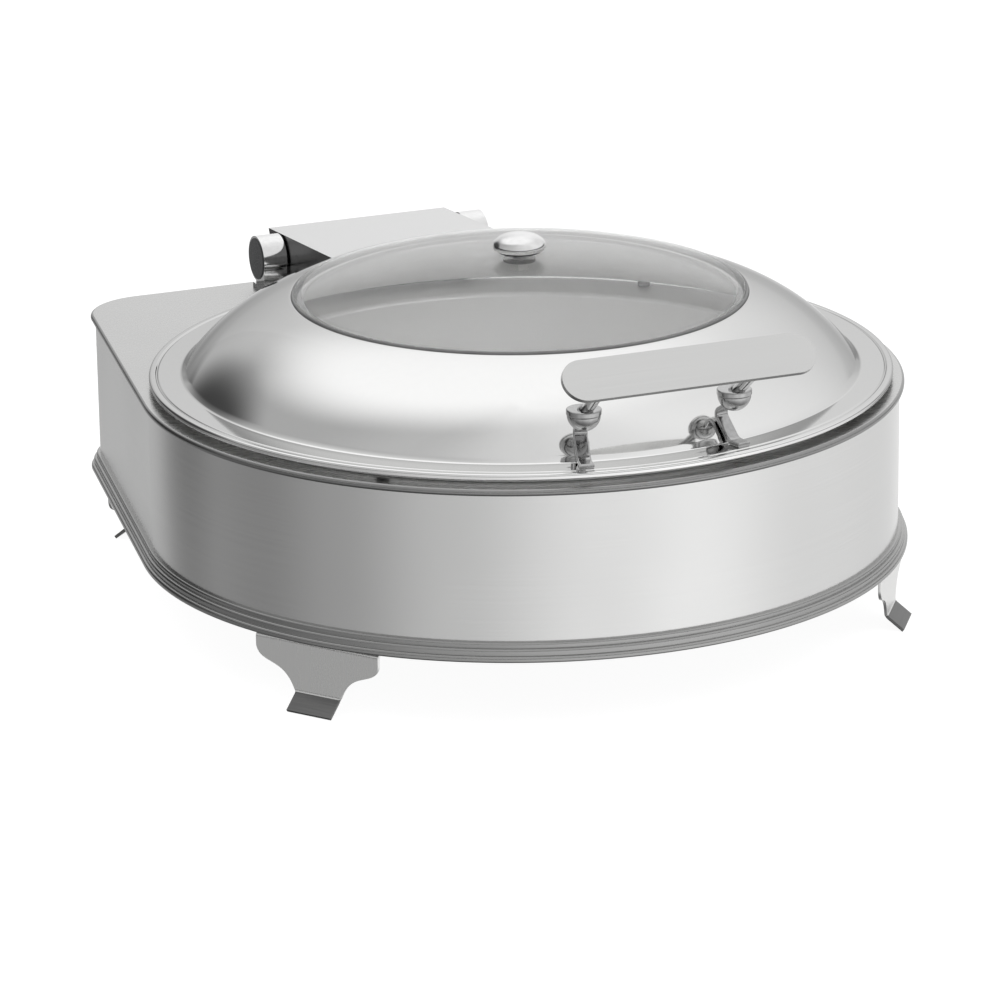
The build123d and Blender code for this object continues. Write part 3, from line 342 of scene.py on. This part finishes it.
SEAL = plastic("seal", rgb(0.16, 0.16, 0.16), rgb(0.22, 0.22, 0.22), (0.40, 0.52))
SILICONE = plastic("dark_silicone", rgb(0.018, 0.018, 0.019), rgb(0.030, 0.030, 0.031), (0.46, 0.60))
CAP = plastic("dark_cap", rgb(0.030, 0.031, 0.033), rgb(0.045, 0.046, 0.048), (0.26, 0.38))
BLACK = plastic("black_plastic", rgb(0.016, 0.016, 0.017), rgb(0.028, 0.028, 0.029), (0.36, 0.50))
MARK = plastic("white_ink", rgb(0.70, 0.70, 0.69), rgb(0.78, 0.78, 0.77), (0.45, 0.55))
BUSH = plastic("bush_plastic", rgb(0.62, 0.60, 0.55), rgb(0.70, 0.68, 0.62), (0.40, 0.52))
GLASS = clear("window_glass", rgb(0.97, 0.975, 0.97), (0.0, 0.03), 1.5, 22.0, 0.12)
LENS = clear("amber_lens", rgb(0.95, 0.42, 0.06), (0.05, 0.12), 1.49, 120.0)

FINISH = {
    "brushed_steel": WALL, "polished_steel": CHROME, "satin_steel": SATIN, "window_glass": GLASS,
    "dark_silicone": SILICONE, "dark_cap": CAP, "black_plastic": BLACK, "amber_lens": LENS,
    "plated_steel": PLATED, "spring_steel": SPRING, "element_sheath": SHEATH,
    "spreader_aluminium": ALUMINIUM, "bush_plastic": BUSH, "brass_contacts": BRASS,
}
for node in nodes.values():
    for held in node.material_slots:
        held.material = FINISH[held.material.name.split(".")[0]]
for name, width, segments in (("hinge_cover", 1.1, 4), ("hinge_post_left", 0.7, 3),
                              ("hinge_post_right", 0.7, 3), ("control_panel", 0.5, 3), ("switch_rocker", 0.5, 3),
                              ("inlet_socket", 0.5, 3), ("switch_body", 0.4, 3)):
    soften = nodes[name].modifiers.new("edge", "BEVEL")
    soften.width = width * MM
    soften.segments = segments
    soften.limit_method = "ANGLE"
    soften.angle_limit = radians(40)
    soften.harden_normals = True
# the hinge cover's side cheeks carry painted shade
nodes["hinge_cover"].material_slots[0].material = COVER_PAINTED_SHADE


# ================================================================ mesh helpers, in millimetres
def skin(rows, loop=True, ring=True):
    """Mesh through rows of points; loop joins the last row to the first, ring joins the ends of each row."""
    bm = bmesh.new()
    grid = [[bm.verts.new(point) for point in row] for row in rows]
    for row, after in zip(grid, grid[1:] + grid[:1] if loop else grid[1:]):
        for a, b, c, d in zip(row, row[1:] + row[:1], after[1:] + after[:1], after):
            if ring or a is not row[-1]:
                bm.faces.new((a, b, c, d))
    if not loop and ring:
        for row in (grid[0], grid[-1]):
            if (Vector(row[0].co) - Vector(row[len(row) // 2].co)).length > 1e-4:
                bm.faces.new(row)
    bmesh.ops.remove_doubles(bm, verts=bm.verts, dist=1e-4)
    bmesh.ops.recalc_face_normals(bm, faces=bm.faces)
    return bm


def rounded(corners, steps=5, closed=True):
    """Outline through (x, y, radius) corners, each turned into an arc of its radius."""
    outline = []
    for i, (x, y, radius) in enumerate(corners):
        here = Vector((x, y))
        if radius <= 0 or (not closed and i in (0, len(corners) - 1)):
            outline.append((x, y))
            continue
        before = (Vector(corners[i - 1][:2]) - here).normalized()
        after = (Vector(corners[(i + 1) % len(corners)][:2]) - here).normalized()
        half = before.angle(after) / 2
        centre = here + (before + after).normalized() * (radius / sin(half))
        start = here + before * (radius / tan(half)) - centre
        turn = (pi - 2 * half) * (1 if before.x * after.y - before.y * after.x < 0 else -1)
        for k in range(steps + 1):
            a = turn * k / steps
            outline.append((centre.x + start.x * cos(a) - start.y * sin(a),
                            centre.y + start.x * sin(a) + start.y * cos(a)))
    return outline


def arc_through(a, b, c, steps):
    """Points of the circular arc from a through b to c."""
    (ax, ay), (bx, by), (cx, cy) = a, b, c
    d = 2 * (ax * (by - cy) + bx * (cy - ay) + cx * (ay - by))
    aa, bb, cc = ax * ax + ay * ay, bx * bx + by * by, cx * cx + cy * cy
    ox = (aa * (by - cy) + bb * (cy - ay) + cc * (ay - by)) / d
    oy = (aa * (cx - bx) + bb * (ax - cx) + cc * (bx - ax)) / d
    first, last = atan2(ay - oy, ax - ox), atan2(cy - oy, cx - ox)
    radius = hypot(ax - ox, ay - oy)
    turns = [first + (last - first) * k / steps for k in range(steps + 1)]
    return [(ox + radius * cos(a), oy + radius * sin(a)) for a in turns]


def lathe(profile, count=256, centre=(0, BOWL_Y), loop=True):
    """Solid of revolution about an upright axis; the profile is (radius, height)."""
    x, y = centre
    turns = [2 * pi * k / count for k in range(count)]
    return skin([[(x + r * cos(a), y + r * sin(a), z) for a in turns] for r, z in profile], loop)


def plan(grow, z):
    """The housing's plan outline at a height, grown outwards: three arcs joined by straight runs."""
    reach = REAR_Y - CORNER_R
    across = (BODY_R - CORNER_R - reach * sin(SIDE_TURN)) / cos(SIDE_TURN)
    outline = []
    for (cx, cy), radius, start, end, steps in (((0, 0), BODY_R, -pi - SIDE_TURN, SIDE_TURN, 220),
                                                ((across, reach), CORNER_R, SIDE_TURN, pi / 2, 28),
                                                ((-across, reach), CORNER_R, pi / 2, pi - SIDE_TURN, 28)):
        turns = [start + (end - start) * k / steps for k in range(steps + 1)]
        outline += [(cx + (radius + grow) * cos(a), BOWL_Y + cy + (radius + grow) * sin(a), z) for a in turns]
    divided = []
    for (x0, y0, _), (x1, y1, _) in zip(outline, outline[1:] + outline[:1]):
        parts = ceil(hypot(x1 - x0, y1 - y0) / 8)
        divided += [(x0 + (x1 - x0) * k / parts, y0 + (y1 - y0) * k / parts, z) for k in range(parts)]
    return divided


def bowl_ring(radius, z):
    """A circle about the bowl's axis, point for point with plan()."""
    ring = []
    for x, y, _ in plan(0, z):
        reach = hypot(x, y - BOWL_Y)
        ring.append((radius * x / reach, BOWL_Y + radius * (y - BOWL_Y) / reach, z))
    return ring


def plate(outline, low, high, holes=(), edge=0.0, segments=3):
    """Flat plate between two heights, with holes, its rims rounded."""
    bm = bmesh.new()
    for shape in (outline, *holes):
        ring = [bm.verts.new((x, y, high)) for x, y in shape]
        for a, b in zip(ring, ring[1:] + ring[:1]):
            bm.edges.new((a, b))
    bmesh.ops.triangle_fill(bm, edges=bm.edges[:], use_beauty=True)
    moved = bmesh.ops.extrude_face_region(bm, geom=bm.faces[:])["geom"]
    lowered = [v for v in moved if isinstance(v, bmesh.types.BMVert)]
    bmesh.ops.translate(bm, vec=(0, 0, low - high), verts=lowered)
    bmesh.ops.recalc_face_normals(bm, faces=bm.faces)
    if edge:
        rims = [e for e in bm.edges if len(e.link_faces) == 2 and e.calc_face_angle() > radians(50)]
        bmesh.ops.bevel(bm, geom=rims, offset=edge, segments=segments, profile=0.5, affect="EDGES",
                        clamp_overlap=True)
    return bm


def strip(path, width, thick, edge=0.5):
    """Flat bar along (forward, up) points in the local YZ plane; width is a number or one per point."""
    widths = width if isinstance(width, list) else [width] * len(path)
    rows = []
    for i, (y, z) in enumerate(path):
        before, after = path[max(i - 1, 0)], path[min(i + 1, len(path) - 1)]
        along = Vector((after[0] - before[0], after[1] - before[1])).normalized()
        normal = Vector((-along.y, along.x))
        half, deep = widths[i] / 2, thick / 2
        section = rounded([(-half, -deep, edge), (half, -deep, edge), (half, deep, edge),
                           (-half, deep, edge)], 3)
        rows.append([(x, y + normal.x * t, z + normal.y * t) for x, t in section])
    return skin(rows, loop=False)


def tube(path, radius, count=20):
    """Round bar along an open path of points."""
    rows = []
    side = None
    for before, point, after in zip(path[:1] + path[:-1], path, path[1:] + path[-1:]):
        along = (Vector(after) - Vector(before)).normalized()
        if side is None:
            side = along.orthogonal().normalized()
        side = (side - along * side.dot(along)).normalized()
        other = along.cross(side)
        turns = [2 * pi * k / count for k in range(count)]
        rows.append([Vector(point) + radius * (side * cos(a) + other * sin(a)) for a in turns])
    return skin(rows, loop=False)


def joined(*parts):
    """One mesh from several, each moved by its own matrix where a (mesh, matrix) pair is given."""
    whole = bmesh.new()
    for part in parts:
        bm, place = part if isinstance(part, tuple) else (part, Matrix.Identity(4))
        bm.transform(place)
        held = bpy.data.meshes.new("held")
        bm.to_mesh(held)
        bm.free()
        whole.from_mesh(held)
        bpy.data.meshes.remove(held)
    return whole


def frame_of(origin, x_axis, z_axis):
    """Matrix of a local frame from its origin, X and Z directions."""
    z = Vector(z_axis).normalized()
    x = Vector(x_axis).normalized()
    return Matrix.Translation(Vector(origin)) @ Matrix((x, z.cross(x), z)).transposed().to_4x4()


def piece(name, bm, finish, body, *stands_for, slot, sharp=34.0, inner=None):
    """Finished object: scaled to metres, smooth-shaded, riding on its body and standing for its CAD nodes."""
    bm.transform(Matrix.Scale(MM, 4))
    mesh = bpy.data.meshes.new(name)
    bm.to_mesh(mesh)
    bm.free()
    mesh.materials.append(finish)
    mesh.shade_smooth()
    mesh.set_sharp_from_angle(angle=radians(sharp))
    if inner:
        mesh.materials.append(inner[0])
        for face in mesh.polygons:
            face.material_index = int(inner[1](face))
    made = bpy.data.objects.new(name, mesh)
    bpy.context.scene.collection.objects.link(made)
    made.modifiers.new("even_normals", "WEIGHTED_NORMAL").keep_sharp = True
    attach(made, body)
    if stands_for:
        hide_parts(*stands_for)
    return made


# ================================================================ housing
def deck_piece():
    """Deck with its edge rolled over and a small lip round the bowl's opening."""
    edge = [(-2.0, DECK_Z)] + rounded([(-2.6, DECK_Z, 0), (0, DECK_Z, 2.0), (0, DECK_Z - 4.2, 1.9),
                                       (-2.4, DECK_Z - 4.2, 0)], 8, closed=False)[1:]
    rows = [bowl_ring(191.6, DECK_Z - 1.2), bowl_ring(191.6, DECK_Z - 0.3), bowl_ring(191.9, DECK_Z)]
    rows += [plan(-3.6, DECK_Z)]
    rows += [plan(grow, z) for grow, z in edge]
    rows += [plan(-2.4, DECK_Z - 3.6), plan(-1.4, DECK_Z - 3.2), plan(-1.3, DECK_Z - 1.8),
             plan(-2.2, DECK_Z - 1.2)]
    return skin(rows)


def tray_piece():
    """Base tray: three rounded beads round its wall and a slotted floor."""
    z = 43.0
    section = rounded([(-3.0, z, 0), (3.0, z, 1.3), (3.0, z + 4.0, 1.6), (1.2, z + 4.0, 0.25),
                       (1.4, z + 8.0, 1.5), (-0.6, z + 8.0, 0.25), (-0.4, z + 11.3, 1.3), (-2.95, z + 11.3, 0)], 5)
    bead = skin([plan(grow, height) for grow, height in section])

    def slot(x, y, length, width, turn):
        half = length / 2 - width / 2
        ends = [(sign * half + width / 2 * cos(a), width / 2 * sin(a))
                for sign, first in ((1, -90), (-1, 90)) for a in (radians(first + 30 * k) for k in range(7))]
        return [(x + u * cos(turn) - v * sin(turn), BOWL_Y + y + u * sin(turn) + v * cos(turn))
                for u, v in ends]

    holes = [slot(125 * cos(a), 125 * sin(a), 46, 7, a + pi / 2)
             for a in (radians(18 + 36 * k) for k in range(10))]
    holes += [slot(60 * cos(a), 60 * sin(a), 30, 7, a + pi / 2) for a in (radians(60 * k) for k in range(6))]
    holes += [slot(x, y, 34, 7, 0) for x, y in ((0, 210), (-60, 215), (60, 215))]
    outline = [point[:2] for point in plan(-3.0, z)][::2]
    return joined(bead, plate(outline, z, z + 1.2, holes, 0.25, 2))


FOOT_HALF, NECK_HALF, FOOT_T = 43.0, 15.5, 2.0
SHOULDER_Z, NECK_Z = 34, 11
FRONT_REACH, FRONT_TURN = 231, 54.5
FRONT_X, FRONT_Y = FRONT_REACH * sin(radians(FRONT_TURN)), FRONT_REACH * cos(radians(FRONT_TURN))
REAR_FOOT_X, REAR_FOOT_Y, REAR_TURN = 174.0, 229.5, 135.0
FEET = {"foot_front_left": (-FRONT_X, -FRONT_Y, -FRONT_TURN),
        "foot_front_right": (FRONT_X, -FRONT_Y, FRONT_TURN),
        "foot_rear_left": (-REAR_FOOT_X, REAR_FOOT_Y, -REAR_TURN),
        "foot_rear_right": (REAR_FOOT_X, REAR_FOOT_Y, REAR_TURN)}


def cubic(t, a, b, c, d):
    """Value at t of the cubic whose four Bezier controls are given."""
    return a * (1 - t) ** 3 + 3 * b * t * (1 - t) ** 2 + 3 * c * t * t * (1 - t) + d * t ** 3


def shoulder_width(z):
    """Width at a height of the S-shaped sides between the foot's shoulder and its neck."""
    low, high = 0.0, 1.0
    for _ in range(30):
        t = (low + high) / 2
        low, high = (t, high) if cubic(t, SHOULDER_Z, 22, 30, NECK_Z) > z else (low, t)
    return 2 * cubic(t, FOOT_HALF, 40, 24, NECK_HALF + 1)


def foot_piece():
    """Bent sheet foot in its own frame: X across, -Y outwards, a tab under the tray and a flared lip."""
    bend = rounded([(26, 42, 0), (1, 42, 2.6), (1, 9.6, 4.2), (-9.7, 0.86, 0)], 8, closed=False)
    path, widths = [], []
    for (y0, z0), (y1, z1) in zip(bend, bend[1:]):
        steps = max(1, ceil(hypot(y1 - y0, z1 - z0) / 1.2)) if abs(y1 - y0) < 1e-3 else 1
        for k in range(steps):
            path.append((y0 + (y1 - y0) * k / steps, z0 + (z1 - z0) * k / steps))
    path.append(bend[-1])
    for y, z in path:
        if z >= SHOULDER_Z:
            widths.append(2 * FOOT_HALF)
        elif z > NECK_Z:
            widths.append(shoulder_width(z))
        else:
            widths.append(2 * NECK_HALF + 2 * max(0.0, (z - 9.5) / 1.5))
    return strip(path, widths, FOOT_T, 0.45)


# the rolled edge below the deck's top gets the darker steel: painted shade
piece("deck", deck_piece(), DECK, "base", "top_deck", slot="brushed_steel",
      inner=(LIP_PAINTED_SHADE, lambda face: face.center.z < (DECK_Z - 0.05) * MM))
piece("tray", tray_piece(), TRAY, "base", "base_tray", slot="brushed_steel")
for foot_name, (x, y, turn) in FEET.items():
    bent = foot_piece()
    bent.transform(Matrix.Translation((x, BOWL_Y + y, 0)) @ Matrix.Rotation(radians(turn), 4, "Z"))
    piece(foot_name.replace("foot", "bent_foot"), bent, FOOT, "base", foot_name, slot="brushed_steel",
          inner=(SHADE, lambda face: face.center.z < 0.010))

# ================================================================ pans
WATER = rounded([(182, 66, 0), (191, 66, 9), (191, 147.0, 1.6), (218.6, 147.0, 0), (220, 147.0, 0.5),
                 (220, 148.2, 0.5), (189.8, 148.2, 2.2), (189.8, 67.2, 7.8), (182, 67.2, 0)], 8)
piece("water_pan_spun", lathe([(0, 66)] + WATER + [(0, 67.2)], loop=False), PAN, "base", "water_pan",
      slot="satin_steel")
FOOD = rounded([(150, 83.2, 0), (174, 83.2, 14), (181, 148.2, 2.4), (196.2, 148.2, 0), (197, 148.2, 0.4),
                (197, 149.2, 0.4), (180.1, 149.2, 3.4), (172.9, 84.2, 13), (150, 84.2, 0)], 8)
piece("food_pan_spun", lathe([(0, 83.2)] + FOOD + [(0, 84.2)], loop=False), PAN, "food_pan", "food_pan",
      slot="satin_steel")

# ================================================================ lid
BRIM_TOP = DECK_Z + 7.0
dome_out = arc_through((207.5, BRIM_TOP), (185.0, 177.5), (141.0, 200.0), 56)
dome_in = arc_through((205.9, BRIM_TOP - 1.2), (184.0, 176.2), (141.6, 196.5), 40)


def lid_piece():
    """Spun dome: rolled brim edge with a groove, a soft crease at the dome's foot and the window seat."""
    brim = rounded([(226.9, 150.7, 0.2), (228, 150.7, 0.45), (228, 154.0, 1.6), (224.2, 154.0, 0.9),
                    (223.2, 153.1, 0.5), (222.2, 154.0, 0.9), (209.2, 154.0, 0)], 6, closed=False)
    crease = [(208.6, 154.06), (208.0, 154.3), (207.5, 154.75)]
    seat = rounded([(141.0, 200.0, 0), (139.8, 200.0, 0.4), (139.8, 197.7, 0.3), (132, 197.7, 0.5),
                    (132, 196.5, 0.5), (141.6, 196.5, 0)], 4, closed=False)
    under = dome_in[::-1] + [(226.8, 152.8), (226.8, 150.9)]
    start = next(k for k, point in enumerate(dome_out) if point[1] > 155.3)
    return lathe(brim + crease + dome_out[start:] + seat[1:] + under[1:], 320)


piece("lid_dome", lid_piece(), MIRROR, "lid", "lid_shell", slot="polished_steel", sharp=40,
      inner=(SATIN_IN, lambda face: face.normal.z < -0.05 and face.center.z < 0.1995))
lip = rounded([(132, 197.7, 0.3), (139.8, 197.7, 0.2), (139.8, 201.4, 0.9), (137.8, 201.4, 0.7),
               (137.8, 198.7, 0), (132, 198.7, 0.3)], 4)
piece("window_seal", lathe(lip), SEAL, "lid", "window_gasket", slot="dark_silicone")

GLASS_R, GLASS_RISE, GLASS_EDGE, GLASS_T = 137.8, 22.3, 198.7, 4.0
glass_sphere = (GLASS_R ** 2 + GLASS_RISE ** 2) / (2 * GLASS_RISE)


def crown(height, inner, outer, steps):
    """Radii and heights on the window's sphere between two radii, whose apex is at a height."""
    return [(r, height - glass_sphere + sqrt(glass_sphere ** 2 - r * r))
            for r in (inner + (outer - inner) * k / steps for k in range(steps + 1))]


glass_top = GLASS_EDGE + GLASS_T + GLASS_RISE
upper = crown(glass_top, 4.0, GLASS_R - 0.9, 36) + [(GLASS_R - 0.25, glass_top - GLASS_RISE - 0.2),
                                                     (GLASS_R, glass_top - GLASS_RISE - 0.7)]
lower = [(GLASS_R, GLASS_EDGE + 0.3)] + crown(glass_top - GLASS_T, 4.0, GLASS_R - 0.3, 36)[::-1]
piece("window_pane", lathe(upper + lower), GLASS, "lid", "window_glass", slot="window_glass", sharp=50)

KNOB_Z = glass_top + 1.5
KNOB_R, KNOB_SIDE, KNOB_RISE, SHANK = 16.25, 1.8, 8.2, 13.0
crest = [(KNOB_R * sin(pi / 2 * k / 30) ** 0.9, KNOB_Z + KNOB_SIDE + KNOB_RISE * cos(pi / 2 * k / 30) ** 0.9)
         for k in range(31)]
shank = rounded([(KNOB_R, KNOB_Z + KNOB_SIDE, 0), (15.6, KNOB_Z, 0.7), (3.0, KNOB_Z, 0),
                 (3.0, KNOB_Z - SHANK, 0.5), (0, KNOB_Z - SHANK, 0)], 5, closed=False)
piece("lid_knob", lathe(crest + shank[1:], 96, loop=False), CHROME, "lid", "window_knob",
      slot="polished_steel", sharp=50)

# ================================================================ handle
CUP_TOP = DECK_Z + 37.0
LEG_R, LEG_TURN = 211.6, 13.0
GRIP_Y, GRIP_Z, GRIP_TILT = BOWL_Y - 248, 217, radians(45)
GRIP_REACH, GRIP_HALF, GRIP_DEEP = 65.5, 13.3, 1.48
stadium = [(s * GRIP_REACH + GRIP_HALF * cos(a), GRIP_HALF * sin(a))
           for s, first in ((1, -pi / 2), (-1, pi / 2))
           for a in (first + pi * k / 20 for k in range(21))]
grip = plate(stadium, -GRIP_DEEP, GRIP_DEEP, edge=1.35, segments=5)
grip.transform(frame_of((0, GRIP_Y, GRIP_Z), (1, 0, 0), (0, -sin(GRIP_TILT), cos(GRIP_TILT))))
piece("handle_grip", grip, HANDLE, "lid", "handle_plate", slot="polished_steel")

for name, side in (("left", -1), ("right", 1)):
    turn = radians(LEG_TURN) * side
    x, y = LEG_R * sin(turn), BOWL_Y - LEG_R * cos(turn)
    path = rounded([(-208.6, CUP_TOP - 6.5, 0), (-197, CUP_TOP - 13.5, 4), (-211, BRIM_TOP + 1.5, 7),
                    (-221.1, BRIM_TOP + 1.5, 0)], 12, closed=False)
    bar = strip(path, [8.5] * len(path), 3.0, 1.0)
    bar.transform(Matrix.Translation((0, BOWL_Y, 0)) @ Matrix.Rotation(turn, 4, "Z"))
    bowl = [(10 * sin(radians(a)), CUP_TOP - 10 * cos(radians(a))) for a in range(0, 86, 5)]
    cup = lathe(bowl + [(9.9, CUP_TOP - 0.3), (9.6, CUP_TOP), (0, CUP_TOP)], 48, (x, y), loop=False)
    piece(f"handle_bracket_{name}", joined(bar, cup), BRACKET, "lid", f"handle_leg_{name}",
          slot="polished_steel")
    foot, head = Vector((x, y, CUP_TOP)), Vector((x * 1.05, GRIP_Y, GRIP_Z))
    along = (head - foot).normalized()
    reach = (head - foot).length
    stem = [(0, 3.6), (5.2, 3.6), (4.2, 4.4), (3.6, 6.0), (3.5, 8.0), (3.5, reach - 6.5), (3.7, reach - 4.6),
            (4.4, reach - 3.4), (0, reach - 3.0)]
    neck = lathe(stem, 40, (0, 0), loop=False)
    neck.transform(frame_of(foot, along.orthogonal(), along))
    piece(f"handle_stem_{name}", neck, BRACKET, "lid", f"handle_neck_{name}", slot="polished_steel")
COLLAR_R, COLLAR_TOP = 10.4, CUP_TOP + 3.5
collar = rounded([(0, CUP_TOP, 0), (COLLAR_R, CUP_TOP, 0.6), (COLLAR_R, COLLAR_TOP, 0.9),
                  (0, COLLAR_TOP, 0)], 4, closed=False)
rings = [lathe(collar, 56, (LEG_R * sin(t), BOWL_Y - LEG_R * cos(t)), loop=False)
         for t in (radians(-LEG_TURN), radians(LEG_TURN))]
piece("handle_rings", joined(*rings), BRACKET, "lid", "handle_collars", slot="polished_steel")

# ================================================================ hinge
SPRING_LENGTH, SPRING_R, WIRE_R, SPRING_TURNS, TURN_STEPS = 82, 7.3, 1.05, 22, 60
spring_steps = SPRING_TURNS * TURN_STEPS
coil = [(-SPRING_LENGTH / 2 + SPRING_LENGTH * k / spring_steps, SPRING_R * cos(2 * pi * k / TURN_STEPS),
         SPRING_R * sin(2 * pi * k / TURN_STEPS)) for k in range(spring_steps + 1)]
spring = tube(coil, WIRE_R, 12)
spring.transform(Matrix.Translation((0, PIVOT_Y, PIVOT_Z)))
piece("hinge_spring", spring, SPRING, "lid", "counterbalance_spring", slot="spring_steel")

# ================================================================ controls on the rear wall
DIAL_X = -52.0
on_panel = Matrix(((-1, 0, 0, 0), (0, 0, 1, PANEL_Y), (0, 1, 0, PANEL_Z), (0, 0, 0, 1)))


def fluted(profile, flutes, depth, low, high, count=288):
    """Lathe about the local Z axis whose sides are fluted between two heights."""
    rows = []
    for r, z in profile:
        cut = depth if low <= z <= high else 0.0
        row = []
        for k in range(count):
            a = 2 * pi * k / count
            reach = r - cut * (0.5 - 0.5 * cos(flutes * a)) ** 2
            row.append((reach * cos(a), reach * sin(a), z))
        rows.append(row)
    return skin(rows, loop=False)


flank = rounded([(3, 0.6, 0), (16.9, 0.6, 0.4), (17, 3.4, 0.9), (13.1, 3.9, 0.5), (12.4, 13.4, 1.4),
                 (0, 13.5, 0)], 6, closed=False)
knob = fluted([(0, 0.6)] + flank[:-1] + [(12.0, 13.3), (10.6, 13.5), (0, 13.5)], 24, 0.7, 4.3, 12.2)
pointer = plate(rounded([(-1, -0.5, 0.5), (1, -0.5, 0.5), (1, 10.4, 0.5), (-1, 10.4, 0.5)], 4), 13.4, 14.2,
                edge=0.25)
dial = joined(knob, pointer)
dial.transform(on_panel @ Matrix.Translation((-DIAL_X, 0, 0)))
bmesh.ops.recalc_face_normals(dial, faces=dial.faces)
piece("dial_knob", dial, BLACK, "thermostat_dial", "thermostat_knob", slot="black_plastic",
      inner=(MARK, lambda face: face.center.y > (PANEL_Y + 14.1) * MM))

MARK_R, MARK_HALF = 18.6, 0.35
marks = []
for k in range(10):
    a = radians(90 - 30 * k)
    tip = 21.4 if k % 3 else 22.6
    mark = plate(rounded([(MARK_R, -MARK_HALF, 0.2), (tip, -MARK_HALF, 0.2), (tip, MARK_HALF, 0.2),
                          (MARK_R, MARK_HALF, 0.2)], 3), 0.0, 0.12)
    mark.transform(on_panel @ Matrix.Translation((-DIAL_X, 0, 0)) @ Matrix.Rotation(a, 4, "Z"))
    marks.append(mark)
scale = joined(*marks)
bmesh.ops.recalc_face_normals(scale, faces=scale.faces)
piece("dial_marks", scale, BLACK, "base", slot="black_plastic")

dome = rounded([(1.2, 1.5, 0), (2.8, 1.45, 1.0), (2.8, 0.0, 0)], 6, closed=False)
screw = [(0, 0.5), (1.1, 0.5), (1.2, 1.45)] + dome[1:] + [(1.6, 0), (1.6, -7.2), (0, -7.2)]
heads = []
for x in (-87.0, 87.0):
    for z in (-20.0, 20.0):
        head = lathe(screw, 36, (0, 0), loop=False)
        head.transform(on_panel @ Matrix.Translation((x, z, 0)))
        heads.append(head)
screws = joined(*heads)
bmesh.ops.recalc_face_normals(screws, faces=screws.faces)
piece("panel_button_screws", screws, PLATED, "base", "panel_screws", slot="plated_steel")
